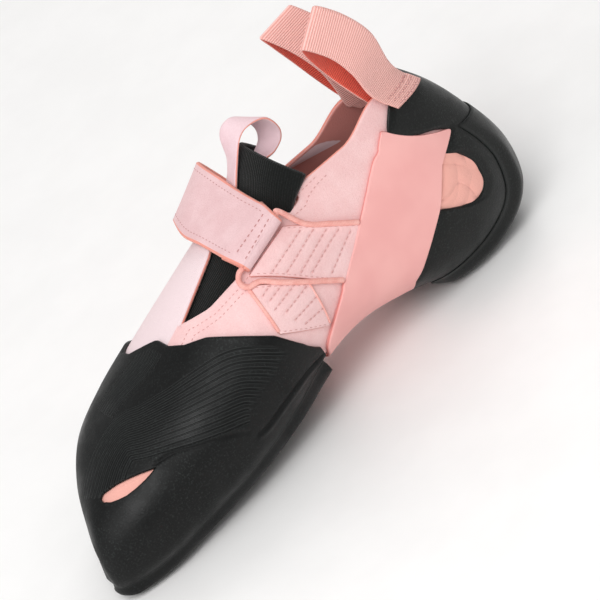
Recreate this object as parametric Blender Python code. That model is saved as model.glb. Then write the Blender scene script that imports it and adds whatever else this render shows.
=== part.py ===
"""Climbing shoe for the right foot, standing empty on its sole.

The shoe is laid over one last. The last is a row of sections from the toe to the heel and on up
to the collar, and a place on it is a station (a row number, 0 at the tip of the toe) and a turn
(degrees around the section: 0 under the foot, 90 on the inner side, 180 on the instep and
negative on the outer side). Upper, rubber and panels are slices between two offsets from it.

Metres, +Z up, the toe along -X, the inner side of the foot along -Y.
"""
import math
from typing import NamedTuple

import bmesh
import bpy
import numpy as np

LAST_LENGTH = 0.2265
BALL_WIDTH = 0.0840
INSTEP_HEIGHT = 0.0880
HEEL_HEIGHT = 0.0780
HEEL_TAB_RISE = 0.0070
UPPER_WALL = 0.0020
CLEARANCE = 0.00035
TOE_RUBBER = 0.0016
HEEL_RUBBER = 0.0016
SLING_RUBBER = 0.0012
SOLE_RUBBER = 0.0052
FLAT_DEPTH = 0.0004
CUP_SAG = 0.0006
PANEL_THICKNESS = 0.0010
INSOLE_THICKNESS = 0.0020
TONGUE_THICKNESS = 0.0024
STRAP_THICKNESS = 0.0014
STRAP_FOLD = 0.0130
CORD_DIAMETER = 0.0022
HEEL_TAPE_WIDTH = 0.0165
HEEL_TAPE_THICKNESS = 0.0012
TONGUE_TAPE_WIDTH = 0.0095
TONGUE_TAPE_THICKNESS = 0.0012

SOLE_OUTER = CLEARANCE + SOLE_RUBBER
LAST_FLOOR = SOLE_OUTER - FLAT_DEPTH
LAST_MIDDLE_Y = 0.02474
LAST_MIDDLE_X = 0.11410


class Section(NamedTuple):
    """One section of the last, its lengths as shares of the named sizes.

    base_x and top_x are shares of the length, base_rise a share of the heel height and top_rise
    of the instep height, the y places and half widths shares of the ball width. belly is the
    share of the height at which the section is widest, low and high its squareness under and
    over the belly, lean the forward slant of its outer side, roll its tilt to the inner side and
    tab the share of the heel tab's rise that it takes at its back.
    """
    base_x: float
    base_rise: float
    top_x: float
    top_rise: float
    base_y: float
    top_y: float
    inner: float
    outer: float
    belly: float
    low: float
    high: float
    lean: float
    roll: float
    tab: float


SECTIONS = (
    Section(0.004, 0.0792, 0.004, 0.0702, 0.000, 0.000, 0.000, 0.000, 0.45, 2.2, 2.2, 0.35, 0.00, 0.00),
    Section(0.013, 0.038, 0.013, 0.163, 0.012, 0.018, 0.065, 0.083, 0.45, 2.2, 2.2, 0.35, 0.00, 0.00),
    Section(0.024, 0.015, 0.024, 0.250, 0.048, 0.054, 0.143, 0.179, 0.42, 2.5, 2.2, 0.35, 0.00, 0.00),
    Section(0.062, 0.000, 0.051, 0.350, 0.131, 0.119, 0.268, 0.333, 0.38, 2.8, 2.3, 0.28, 0.00, 0.00),
    Section(0.124, 0.003, 0.108, 0.441, 0.214, 0.202, 0.399, 0.429, 0.38, 3.0, 2.3, 0.20, 0.00, 0.00),
    Section(0.212, 0.023, 0.192, 0.528, 0.286, 0.250, 0.476, 0.470, 0.38, 3.0, 2.2, 0.14, 0.00, 0.00),
    Section(0.309, 0.049, 0.287, 0.619, 0.321, 0.274, 0.506, 0.488, 0.38, 2.9, 2.1, 0.08, 0.00, 0.00),
    Section(0.411, 0.094, 0.380, 0.727, 0.333, 0.280, 0.482, 0.470, 0.40, 2.6, 2.0, 0.00, 0.00, 0.00),
    Section(0.517, 0.164, 0.468, 0.835, 0.333, 0.286, 0.423, 0.429, 0.42, 2.5, 2.0, 0.00, 0.00, 0.00),
    Section(0.618, 0.171, 0.521, 0.903, 0.339, 0.298, 0.375, 0.381, 0.42, 2.5, 2.0, 0.00, 0.00, 0.00),
    Section(0.715, 0.106, 0.536, 0.932, 0.339, 0.304, 0.351, 0.351, 0.42, 2.5, 2.0, 0.00, 0.00, 0.00),
    Section(0.812, 0.010, 0.545, 0.943, 0.345, 0.310, 0.339, 0.333, 0.40, 2.5, 2.1, 0.00, 0.00, 0.00),
    Section(0.905, 0.004, 0.550, 0.943, 0.345, 0.315, 0.327, 0.321, 0.40, 2.3, 2.2, 0.00, 0.00, 0.00),
    Section(0.976, 0.100, 0.552, 0.932, 0.345, 0.321, 0.310, 0.304, 0.40, 2.2, 2.3, 0.00, 0.02, 0.00),
    Section(1.000, 0.318, 0.552, 0.915, 0.345, 0.327, 0.286, 0.280, 0.40, 2.1, 2.4, 0.00, 0.06, 0.00),
    Section(0.985, 0.562, 0.550, 0.892, 0.345, 0.333, 0.262, 0.250, 0.41, 2.1, 2.5, 0.00, 0.13, 0.14),
    Section(0.949, 0.779, 0.545, 0.858, 0.345, 0.339, 0.248, 0.226, 0.43, 2.1, 2.6, 0.00, 0.24, 0.57),
    Section(0.905, 0.936, 0.539, 0.818, 0.345, 0.345, 0.238, 0.214, 0.45, 2.2, 2.6, 0.00, 0.34, 1.00),
)
LAST_ROW = len(SECTIONS) - 1
SECTION_UNITS = np.array([LAST_LENGTH, HEEL_HEIGHT, LAST_LENGTH, INSTEP_HEIGHT, BALL_WIDTH, BALL_WIDTH,
                          BALL_WIDTH, BALL_WIDTH, 1.0, 1.0, 1.0, 1.0, 1.0, HEEL_TAB_RISE])
SECTION_TABLE = np.array(SECTIONS) * SECTION_UNITS
# The section at the toe's tip is one point: its top is as high as its base.
BASE_RISE_COLUMN = Section._fields.index("base_rise")
TOP_RISE_COLUMN = Section._fields.index("top_rise")
SECTION_TABLE[0, TOP_RISE_COLUMN] = SECTION_TABLE[0, BASE_RISE_COLUMN]

# Edges on the last: each pair is a station and the turn of the edge there.
THROAT_START = 6.7
THROAT_INNER = ((0.0, 172.0), (THROAT_START, 172.0), (6.85, 167.0), (7.2, 158.0), (7.9, 149.0),
                (8.9, 145.0), (10.5, 144.0), (12.0, 141.0), (13.5, 136.0), (15.0, 128.0), (16.0, 122.0),
                (17.0, 116.0))
THROAT_OUTER = ((0.0, -188.0), (THROAT_START, -188.0), (7.9, -181.0), (8.6, -172.0), (9.4, -156.0),
                (10.5, -146.0), (12.0, -139.0), (13.5, -132.0), (15.0, -124.0), (16.0, -118.0),
                (17.0, -112.0))
SOLE_TURN = 62.0
SOLE_FRONT = 0.30
# The toe rubber's top edge: turn from the inner to the outer side, and its station there.
TOE_EDGE = ((-298.0, 8.0), (-285.0, 8.0), (-265.0, 7.75), (-248.0, 7.55), (-230.0, 7.2), (-220.0, 7.0),
            (-210.0, 6.8), (-200.0, 6.5), (-190.0, 6.32), (-180.0, 6.28), (-170.0, 6.0), (-162.0, 5.8),
            (-150.0, 5.75), (-120.0, 6.1), (-90.0, 6.8), (-62.0, 7.3))


def between(table: tuple, at: np.ndarray) -> np.ndarray:
    """Reads an edge table of pairs at any places, straight between its rows."""
    places, values = zip(*table)
    return np.interp(at, places, values)


def cubic(before: np.ndarray, here: np.ndarray, there: np.ndarray, after: np.ndarray,
          step: np.ndarray) -> np.ndarray:
    """Goes smoothly from here to there as the step goes from 0 to 1, sloped by the rows on both sides."""
    leaving, arriving = (there - before) / 2, (after - here) / 2
    return (here + leaving * step + (3 * (there - here) - 2 * leaving - arriving) * step ** 2
            + (2 * (here - there) + leaving + arriving) * step ** 3)


def flowing_row(station: np.ndarray) -> np.ndarray:
    """Reads the section table at any stations, on smooth cubics through its rows."""
    place = np.clip(station, 0.0, LAST_ROW - 1e-9)
    row = np.floor(place).astype(int)
    step = (place - row)[..., None]
    before, here, there, after = (SECTION_TABLE[np.clip(row + shift, 0, LAST_ROW)]
                                  for shift in (-1, 0, 1, 2))
    return cubic(before, here, there, after, step)


def smooth_step(value: np.ndarray) -> np.ndarray:
    """Eases from 0 to 1 as the value goes from 0 to 1."""
    held = np.clip(value, 0.0, 1.0)
    return held * held * (3.0 - 2.0 * held)


def last_surface(station: np.ndarray, turn: np.ndarray) -> np.ndarray:
    """Points of the last itself, at stations and turns of the same shape."""
    station, turn = np.broadcast_arrays(np.asarray(station, float), np.asarray(turn, float))
    (base_x, base_rise, top_x, top_rise, base_y, top_y, inner, outer, belly, low, high, lean, roll,
     tab) = np.moveaxis(flowing_row(station), -1, 0)
    angle = np.radians(turn)
    upright, sideways = np.cos(angle), np.sin(angle)
    power = 2.0 / np.where(upright > 0.0, low, high)
    upright_share, side_share = np.abs(upright) ** power, np.abs(sideways) ** power
    height = np.where(upright > 0.0, belly * (1.0 - upright_share), belly + (1.0 - belly) * upright_share)
    side = np.where(sideways > 0.0, -inner, outer) * side_share
    tab_share = 1.0 - smooth_step((height - 0.20) / 0.25)
    x = base_x + (top_x - base_x) * height + lean * side - LAST_MIDDLE_X
    y = base_y + (top_y - base_y) * height + side - LAST_MIDDLE_Y
    z = LAST_FLOOR + base_rise + (top_rise - base_rise) * height - roll * side + tab * tab_share
    return np.stack([x, y, z], -1)


def slope_normal(station: np.ndarray, turn: np.ndarray) -> np.ndarray:
    """Outward directions of the last, from its slopes along and around."""
    held = np.clip(station, 0.15, LAST_ROW - 0.05)
    along = last_surface(held + 0.05, turn) - last_surface(held - 0.05, turn)
    around = last_surface(held, turn + 2.5) - last_surface(held, turn - 2.5)
    normal = np.cross(along, around)
    return normal / np.linalg.norm(normal, axis=-1, keepdims=True)


TIP_NORMAL = slope_normal(np.full(24, 0.15), np.arange(24) * 15.0).mean(0)
TIP_NORMAL /= np.linalg.norm(TIP_NORMAL)


def last_normal(station: np.ndarray, turn: np.ndarray) -> np.ndarray:
    """Outward directions of the last, drawn together into one at the tip of the toe."""
    share = smooth_step(station / 0.5)[..., None]
    normal = TIP_NORMAL + (slope_normal(station, turn) - TIP_NORMAL) * share
    return normal / np.linalg.norm(normal, axis=-1, keepdims=True)


def skin(station: np.ndarray, turn: np.ndarray, offset: float) -> np.ndarray:
    """Points at a distance outside the last, or inside where the distance is negative."""
    station, turn = np.broadcast_arrays(np.asarray(station, float), np.asarray(turn, float))
    lift = np.broadcast_to(np.asarray(offset, float), station.shape)[..., None]
    return last_surface(station, turn) + lift * last_normal(station, turn)


def flowing_line(points: np.ndarray, steps: int) -> np.ndarray:
    """Reads a smooth cubic through rows of values, at evenly spread places."""
    rows = np.asarray(points, float)
    last = len(rows) - 1
    place = np.linspace(0.0, last - 1e-9, steps)
    row = np.floor(place).astype(int)
    step = (place - row).reshape((-1,) + (1,) * (rows.ndim - 1))
    before, here, there, after = (rows[np.clip(row + shift, 0, last)] for shift in (-1, 0, 1, 2))
    return cubic(before, here, there, after, step)


def clear_scene() -> None:
    """Removes what the scene holds."""
    for thing in list(bpy.data.objects):
        bpy.data.objects.remove(thing, do_unlink=True)


def new_collection(name: str) -> bpy.types.Collection:
    """Adds a collection under the scene's own."""
    collection = bpy.data.collections.new(name)
    bpy.context.scene.collection.children.link(collection)
    return collection


def new_material(name: str, hex_colour: str, roughness: float) -> bpy.types.Material:
    """Makes a Principled material of one colour."""
    channels = [int(hex_colour[place:place + 2], 16) / 255.0 for place in (1, 3, 5)]
    linear = [channel / 12.92 if channel <= 0.04045 else ((channel + 0.055) / 1.055) ** 2.4
              for channel in channels]
    material = bpy.data.materials.new(name)
    material.use_nodes = True
    shader = material.node_tree.nodes["Principled BSDF"]
    shader.inputs["Base Color"].default_value = (*linear, 1.0)
    shader.inputs["Roughness"].default_value = roughness
    shader.inputs["Metallic"].default_value = 0.0
    material.diffuse_color = (*linear, 1.0)
    return material


def add_object(name: str, mesh: bpy.types.Mesh, collection: bpy.types.Collection,
               material: bpy.types.Material = None) -> bpy.types.Object:
    """Puts a mesh in the scene, smooth but for its sharp edges, or as a bare cutter."""
    thing = bpy.data.objects.new(name, mesh)
    collection.objects.link(thing)
    if material is None:
        thing.hide_render = True
        thing.display_type = "WIRE"
    else:
        mesh.materials.append(material)
        mesh.shade_smooth()
        mesh.set_sharp_from_angle(angle=math.radians(40.0))
    return thing


def slab(name: str, outer: np.ndarray, inner: np.ndarray, collection: bpy.types.Collection,
         material: bpy.types.Material = None) -> bpy.types.Object:
    """Lofts a closed solid between two grids of points, the outer one and the inner one.

    Rows whose first and last points meet are closed around and get no rim there, and points that
    fall together, as at the tip of the toe, are merged.
    """
    rows, columns = outer.shape[:2]
    ring = np.linalg.norm(outer[:, 0] - outer[:, -1], axis=-1) < 1e-7
    number = np.arange(rows * columns).reshape(rows, columns)
    under = number + rows * columns
    faces = []
    for face_rows, flip in ((number, False), (under, True)):
        quads = np.stack([face_rows[:-1, :-1], face_rows[1:, :-1], face_rows[1:, 1:], face_rows[:-1, 1:]], -1)
        quads = quads.reshape(-1, 4)
        faces.extend((quads[:, ::-1] if flip else quads).tolist())
    for row in range(rows - 1):
        if not (ring[row] and ring[row + 1]):
            faces.append([under[row, 0], under[row + 1, 0], number[row + 1, 0], number[row, 0]])
            faces.append([number[row, -1], number[row + 1, -1], under[row + 1, -1], under[row, -1]])
    has_tip = np.linalg.norm(outer[0] - outer[0, 0], axis=-1).max() < 1e-7
    for column in range(columns - 1):
        if not has_tip:
            faces.append([under[0, column], number[0, column], number[0, column + 1], under[0, column + 1]])
        faces.append([under[-1, column], under[-1, column + 1], number[-1, column + 1], number[-1, column]])
    mesh = bpy.data.meshes.new(name)
    mesh.from_pydata(np.concatenate([outer.reshape(-1, 3), inner.reshape(-1, 3)]).tolist(), [], faces)
    shape = bmesh.new()
    shape.from_mesh(mesh)
    bmesh.ops.remove_doubles(shape, verts=shape.verts, dist=1e-6)
    shape.to_mesh(mesh)
    shape.free()
    mesh.update()
    return add_object(name, mesh, collection, material)


def cut(thing: bpy.types.Object, cutter: bpy.types.Object) -> None:
    """Takes a cutter out of a piece."""
    boolean = thing.modifiers.new("Cut " + cutter.name, "BOOLEAN")
    boolean.operation = "DIFFERENCE"
    boolean.solver = "EXACT"
    boolean.object = cutter


def spread(low: np.ndarray, high: np.ndarray, columns: int) -> np.ndarray:
    """Turns from one edge to the other for each row."""
    share = np.linspace(0.0, 1.0, columns)
    return low[:, None] + (high - low)[:, None] * share[None, :]


def facet_sag(stations: np.ndarray, turns: np.ndarray) -> np.ndarray:
    """How far the flat facets of a grid dip under the last's curve beside each of its points."""
    points, normals = skin(stations, turns, 0.0), last_normal(stations, turns)
    sag = np.zeros(stations.shape)
    for down, right in ((1, 0), (0, 1), (1, 1), (1, -1)):
        here = (slice(0, stations.shape[0] - down), slice(max(0, -right), stations.shape[1] - max(0, right)))
        there = (slice(down, None), slice(max(0, right), stations.shape[1] + min(0, right)))
        middle = last_surface((stations[here] + stations[there]) / 2, (turns[here] + turns[there]) / 2)
        dip = np.sum((middle - (points[here] + points[there]) / 2) * (normals[here] + normals[there]) / 2, -1)
        sag[here] = np.maximum(sag[here], dip)
        sag[there] = np.maximum(sag[there], dip)
    sag[stations == 0.0] = sag[0].max()
    return sag


def overlay(name: str, stations: np.ndarray, turns: np.ndarray, seat: float, thickness: np.ndarray,
            parts: bpy.types.Collection, material: bpy.types.Material) -> bpy.types.Object:
    """A layer over the last whose facets stay clear of what lies under its seat."""
    lift = seat + facet_sag(stations, turns)
    return slab(name, skin(stations, turns, lift + thickness), skin(stations, turns, lift), parts, material)


def upper(parts: bpy.types.Collection, cutters: bpy.types.Collection, cloth: bpy.types.Material) -> None:
    """The hollow upper, open at the throat, at the collar and under forefoot and heel."""
    stations = np.concatenate([[0.0], np.linspace(0.7, 2.7, 5), np.linspace(3.5, THROAT_START, 5),
                               np.linspace(6.85, LAST_ROW, 15)])
    turns = spread(between(THROAT_OUTER, stations), between(THROAT_INNER, stations), 33)
    places = stations[:, None] + 0.0 * turns
    shell = slab("upper", skin(places, turns, 0.0), skin(places, turns, -UPPER_WALL), parts, cloth)
    for name, first, last, half_turn in (("forefoot_opening", 2.2, 7.3, 33.0),
                                         ("heel_opening", 11.0, 12.6, 34.0)):
        rows = np.linspace(first, last, 6)
        opening = spread(np.full(6, -half_turn), np.full(6, half_turn), 7)
        level = rows[:, None] + 0.0 * opening
        reach = 2.0 * UPPER_WALL
        block = slab(name, skin(level, opening, reach), skin(level, opening, -UPPER_WALL - reach), cutters)
        cut(shell, block)


def toe_cap(parts: bpy.types.Collection, cutters: bpy.types.Collection, rubber: bpy.types.Material) -> None:
    """The rubber over the toes, from the sole's edge over the top, with a leaf-shaped window."""
    share = np.array([0.0, 0.06, 0.13, 0.21, 0.30, 0.40, 0.50, 0.60, 0.70, 0.80, 0.90, 1.0])
    low, high = SOLE_TURN - 360.0, -SOLE_TURN
    turns = spread(np.full(len(share), low), np.full(len(share), high), 25)
    stations = share[:, None] * between(TOE_EDGE, turns)
    cap = overlay("toe_cap", stations, turns, CLEARANCE, TOE_RUBBER, parts, rubber)
    window = ((3.58, 152.5, 151.5), (3.66, 157.0, 149.5), (3.80, 157.5, 147.0), (4.00, 152.5, 143.0),
              (4.25, 147.0, 137.5), (4.50, 141.0, 133.5), (4.70, 135.0, 131.8), (4.84, 131.8, 131.2))
    rows = np.array(window)
    opening = spread(rows[:, 2], rows[:, 1], 4)
    level = rows[:, :1] + 0.0 * opening
    reach = 2.0 * TOE_RUBBER
    cut(cap, slab("toe_window", skin(level, opening, TOE_RUBBER + reach), skin(level, opening, -reach),
                  cutters))


def edge_taper(from_edge: np.ndarray, run: float, edge: float, full: float) -> np.ndarray:
    """Thickness that grows from the edge's to the full one over a run of degrees."""
    return edge + (full - edge) * smooth_step(from_edge / run)


def soles(parts: bpy.types.Collection, cutters: bpy.types.Collection, rubber: bpy.types.Material) -> None:
    """The front sole and the heel's sole, each worn flat where it stands."""
    floor_mesh = bpy.data.meshes.new("floor_cut")
    block = bmesh.new()
    bmesh.ops.create_cube(block, size=1.0)
    bmesh.ops.scale(block, vec=(2.0 * LAST_LENGTH, 2.0 * LAST_LENGTH, SOLE_OUTER), verts=block.verts)
    bmesh.ops.translate(block, vec=(0.0, 0.0, -SOLE_OUTER / 2), verts=block.verts)
    block.to_mesh(floor_mesh)
    block.free()
    floor = add_object("floor_cut", floor_mesh, cutters)

    edge_gap = 1.4
    stations = np.concatenate([np.linspace(SOLE_FRONT, 1.8, 4), np.linspace(2.5, 7.9, 10)])
    half = np.full(len(stations), SOLE_TURN - edge_gap)
    turns = spread(-half, half, 15)
    places = stations[:, None] + 0.0 * turns
    side_edge = edge_taper(half[:, None] - np.abs(turns), 18.0, 0.0008, SOLE_OUTER - CLEARANCE - TOE_RUBBER)
    thickness = TOE_RUBBER + side_edge * edge_taper(places - SOLE_FRONT, 1.3, 0.25, 1.0)
    front = overlay("outsole", places, turns, 1.6 * CLEARANCE, thickness, parts, rubber)
    cut(front, floor)

    heel_edge = ((10.55, 34.0), (10.9, 41.0), (11.6, 44.0), (12.4, 43.0), (13.2, 40.0), (14.0, 40.0),
                 (14.6, 43.0), (15.05, 46.0))
    seat = 3.0 * CLEARANCE + HEEL_RUBBER + CUP_SAG
    heel_rise = ((10.55, 0.0015), (10.9, SOLE_OUTER - seat), (13.3, SOLE_OUTER - seat), (15.05, 0.0009))
    stations = np.concatenate([np.linspace(10.55, 10.9, 2), np.linspace(11.3, 15.05, 9)])
    half = between(heel_edge, stations)
    turns = spread(-half, half, 11)
    places = stations[:, None] + 0.0 * turns
    full = between(heel_rise, places)
    thickness = edge_taper(half[:, None] - np.abs(turns), 12.0, 0.0, 1.0) * (full - 0.0008) + 0.0008
    back = overlay("heel_outsole", places, turns, seat, thickness, parts, rubber)
    cut(back, floor)


HEEL_EDGE = ((10.15, 38.0), (10.40, 58.0), (10.80, 69.0), (11.60, 78.5), (12.30, 82.5), (12.90, 83.5),
             (12.98, 75.0), (13.15, 64.0), (13.50, 58.0), (13.85, 56.5), (14.20, 57.5), (14.50, 62.0),
             (14.62, 65.0), (14.90, 57.0), (15.12, 49.5), (15.26, 53.0), (15.40, 64.0), (15.60, 71.0),
             (15.85, 73.5), (16.05, 72.0), (16.40, 61.0), (16.70, 44.0), (17.00, 14.0))
# The sling's front and back edges, paired from the collar on the inner side to under the arch.
SLING_FRONT = ((16.30, 80.0), (15.80, 89.0), (15.20, 96.0), (14.50, 103.0), (13.70, 108.0),
               (12.30, 110.0), (10.70, 105.0), (9.50, 92.0), (8.70, 79.0), (8.25, 60.0), (8.12, 40.0),
               (8.10, 20.0), (8.10, 0.0))
SLING_BACK = ((16.16, 77.0), (15.70, 75.5), (15.36, 70.0), (15.17, 60.0), (15.10, 52.0), (14.66, 69.0),
              (13.90, 81.0), (12.70, 86.0), (11.60, 81.0), (10.75, 72.5), (10.28, 57.0), (10.06, 38.0),
              (10.04, 0.0))


def heel_cup(parts: bpy.types.Collection, rubber: bpy.types.Material) -> None:
    """The thin rubber around the heel, with a bite out of each side and a wing at the top."""
    stations = np.array([row[0] for row in HEEL_EDGE])
    half = np.array([row[1] for row in HEEL_EDGE])
    turns = spread(-half, half, 13)
    places = stations[:, None] + 0.0 * turns
    overlay("heel_cup", places, turns, CLEARANCE, HEEL_RUBBER, parts, rubber)


def sling(parts: bpy.types.Collection, rubber: bpy.types.Material) -> None:
    """The smooth band from the collar down one side, under the arch and up the other side."""
    front, back = np.array(SLING_FRONT), np.array(SLING_BACK)
    mirror = np.array([1.0, -1.0])
    front = np.concatenate([front, front[-2::-1] * mirror])
    back = np.concatenate([back, back[-2::-1] * mirror])
    share = np.linspace(0.0, 1.0, 5)[None, :, None]
    grid = front[:, None] + (back - front)[:, None] * share
    stations, turns = grid[..., 0], grid[..., 1]
    overlay("sling", stations, turns, CLEARANCE, SLING_RUBBER, parts, rubber)


def side_panels(parts: bpy.types.Collection, leather: bpy.types.Material) -> None:
    """The two stitched panels between the throat, the toe rubber and the sling."""
    upper_panel = (((8.45, 134.0), (8.68, 122.0), (9.05, 110.0), (9.62, 99.5)),
                   ((9.2, 135.5), (9.5, 124.0), (10.0, 114.0), (10.4, 105.5)),
                   ((10.4, 135.5), (10.6, 126.0), (11.0, 117.0), (11.3, 110.0)),
                   ((11.45, 133.5), (11.62, 126.5), (11.88, 119.5), (12.03, 112.5)))
    lower_panel = (((7.70, 131.0), (7.85, 120.0), (7.97, 107.0), (8.10, 93.0), (8.20, 80.0)),
                   ((7.81, 131.5), (8.03, 119.0), (8.28, 105.5), (8.47, 93.0), (8.40, 81.0)),
                   ((7.92, 132.0), (8.20, 117.5), (8.58, 104.0), (8.82, 93.5), (8.60, 82.0)))
    for name, corners in (("side_panel_upper", upper_panel), ("side_panel_lower", lower_panel)):
        rough = np.array(corners)[:, ::-1]
        grid = flowing_line(np.swapaxes(flowing_line(rough, 6), 0, 1), 6)
        grid = np.swapaxes(grid, 0, 1)
        stations, turns = grid[..., 0], grid[..., 1]
        overlay(name, stations, turns, CLEARANCE, PANEL_THICKNESS, parts, leather)


def insole(parts: bpy.types.Collection, felt: bpy.types.Material) -> None:
    """The sole board's lining inside the shoe."""
    stations = np.concatenate([np.linspace(2.3, 6.8, 6), np.linspace(7.6, 12.9, 6)])
    edge = ((2.3, 40.0), (4.0, 50.0), (7.0, 52.0), (9.0, 44.0), (12.0, 42.0), (12.9, 30.0))
    half = between(edge, stations)
    turns = spread(-half, half, 9)
    places = stations[:, None] + 0.0 * turns
    top = -UPPER_WALL - 3.0 * CLEARANCE
    slab("insole", skin(places, turns, top), skin(places, turns, top - INSOLE_THICKNESS), parts, felt)


def place(shares: tuple) -> np.ndarray:
    """Points off the last, given as shares of its length, the ball's width and the instep's height."""
    return (np.asarray(shares, float) * (LAST_LENGTH, BALL_WIDTH, INSTEP_HEIGHT)
            - (LAST_MIDDLE_X, LAST_MIDDLE_Y, 0.0))


def ribbon(name: str, centre: np.ndarray, thickness: float, parts: bpy.types.Collection,
           material: bpy.types.Material) -> None:
    """Thickens a grid of points to both sides, the grid's rows running along the ribbon."""
    normal = np.cross(np.gradient(centre, axis=0), np.gradient(centre, axis=1))
    lift = normal / np.linalg.norm(normal, axis=-1, keepdims=True) * thickness / 2
    slab(name, centre + lift, centre - lift, parts, material)


class StrapRow(NamedTuple):
    """Both edges of the strap at one place along it, as shares like those of place()."""
    front_x: float
    front_y: float
    front_z: float
    rear_x: float
    rear_y: float
    rear_z: float


# From the fold on the inner side, over the instep, down to the end on the outer side.
STRAP_ROWS = (
    StrapRow(0.483, 0.018, 0.858, 0.576, 0.048, 0.934),
    StrapRow(0.472, 0.131, 0.899, 0.578, 0.143, 0.961),
    StrapRow(0.467, 0.315, 0.924, 0.570, 0.298, 1.007),
    StrapRow(0.465, 0.464, 0.916, 0.570, 0.464, 1.020),
    StrapRow(0.475, 0.595, 0.909, 0.571, 0.619, 1.025),
    StrapRow(0.488, 0.696, 0.875, 0.578, 0.732, 1.000),
    StrapRow(0.505, 0.738, 0.773, 0.594, 0.768, 0.903),
    StrapRow(0.521, 0.742, 0.638, 0.614, 0.752, 0.771),
    StrapRow(0.536, 0.748, 0.511, 0.631, 0.738, 0.625),
    StrapRow(0.552, 0.750, 0.386, 0.649, 0.728, 0.477),
)
FOLD_RADIUS = CORD_DIAMETER / 2 + 1.6 * CLEARANCE + STRAP_THICKNESS / 2


def strap_fold() -> tuple:
    """Edges from the rear to the front, the fold's axis points, its inward and upward directions."""
    rows = np.array(STRAP_ROWS).reshape(-1, 2, 3)[:, ::-1]
    edges = place(rows)
    inward = edges[1] - edges[0]
    inward /= np.linalg.norm(inward, axis=-1, keepdims=True)
    upward = np.cross(inward, edges[0, 1] - edges[0, 0])
    upward /= np.linalg.norm(upward, axis=-1, keepdims=True)
    return edges, edges[0] + FOLD_RADIUS * inward, inward, upward


def strap(parts: bpy.types.Collection, leather: bpy.types.Material) -> None:
    """The closing strap: back layer, fold around the cord, and the run over the instep."""
    edges, axis, inward, upward = strap_fold()
    layer_gap = STRAP_THICKNESS + CLEARANCE
    tail = ((1.0, FOLD_RADIUS - layer_gap), (0.65, FOLD_RADIUS - layer_gap), (0.32, -0.4 * FOLD_RADIUS))
    fold = [axis + STRAP_FOLD * along * inward + rise * upward for along, rise in tail]
    for turn in np.radians((-90.0, -135.0, 180.0, 135.0, 90.0)):
        fold.append(axis + FOLD_RADIUS * (math.cos(turn) * inward + math.sin(turn) * upward))
    rise = FOLD_RADIUS * upward * np.linspace(1.0, 0.0, 4)[1:, None, None]
    run = flowing_line(edges[1:], 20)
    run[:len(rise)] += rise
    rail = np.concatenate([np.array(fold), run])
    share = np.linspace(0.0, 1.0, 5)[None, :, None]
    grid = rail[:, :1] + (rail[:, 1:] - rail[:, :1]) * share
    ribbon("strap", grid, STRAP_THICKNESS, parts, leather)


def tension_cord(parts: bpy.types.Collection, piping: bpy.types.Material) -> None:
    """The round cord from the sling, through the strap's fold, back to the sling."""
    lift = CORD_DIAMETER / 2 + CLEARANCE
    rear_run = skin(np.array([12.29, 12.10, 11.90]), np.array([113.5, 121.0, 129.0]), lift)
    front_run = skin(np.array([8.20, 8.45, 8.75, 9.12, 9.36]),
                     np.array([131.0, 121.0, 111.0, 101.0, 96.0]), lift)
    _, axis, _, _ = strap_fold()
    along = axis[1] - axis[0]
    through = axis[0] + along * np.array([-0.14, 0.0, 0.33, 0.67, 1.0, 1.13])[:, None]
    rear_turn = place(((0.609, 0.052, 0.880), (0.603, 0.066, 0.925)))
    front_turn = place(((0.459, 0.018, 0.834), (0.465, -0.008, 0.805)))
    points = np.concatenate([rear_run, rear_turn, through, front_turn, front_run])
    route = flowing_line(points, 3 * len(points))
    curve = bpy.data.curves.new("tension_cord_route", "CURVE")
    curve.dimensions = "3D"
    curve.bevel_depth = CORD_DIAMETER / 2
    curve.bevel_resolution = 1
    curve.use_fill_caps = True
    spline = curve.splines.new("POLY")
    spline.points.add(len(route) - 1)
    for point, spot in zip(spline.points, route):
        point.co = (*spot, 1.0)
    rope = bpy.data.objects.new("tension_cord_route", curve)
    parts.objects.link(rope)
    mesh = bpy.data.meshes.new_from_object(rope)
    bpy.data.objects.remove(rope, do_unlink=True)
    shape = bmesh.new()
    shape.from_mesh(mesh)
    bmesh.ops.remove_doubles(shape, verts=shape.verts, dist=1e-6)
    bmesh.ops.recalc_face_normals(shape, faces=shape.faces)
    shape.to_mesh(mesh)
    shape.free()
    mesh.materials.clear()
    add_object("tension_cord", mesh, parts, piping)


class TongueRow(NamedTuple):
    """One arched row of the tongue above the throat, its crest as shares like those of place().

    inner_width and outer_width are shares of the ball's width, drop one of the instep's height,
    and slant how far the row falls back toward the heel for each length that it drops.
    """
    crest_x: float
    crest_y: float
    crest_z: float
    inner_width: float
    outer_width: float
    drop: float
    slant: float


TONGUE_ROWS = (
    TongueRow(0.499, 0.310, 0.862, 0.190, 0.140, 0.200, 0.10),
    TongueRow(0.536, 0.345, 0.905, 0.195, 0.125, 0.210, 0.20),
    TongueRow(0.577, 0.385, 0.965, 0.215, 0.115, 0.220, 0.35),
    TongueRow(0.601, 0.400, 1.045, 0.235, 0.120, 0.230, 0.50),
    TongueRow(0.625, 0.410, 1.105, 0.250, 0.125, 0.235, 0.70),
)
TONGUE_BASE = ((6.15, 158.0, 192.0), (6.80, 148.0, 196.0), (7.45, 139.0, 202.0), (8.00, 131.0, 208.0))


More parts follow.
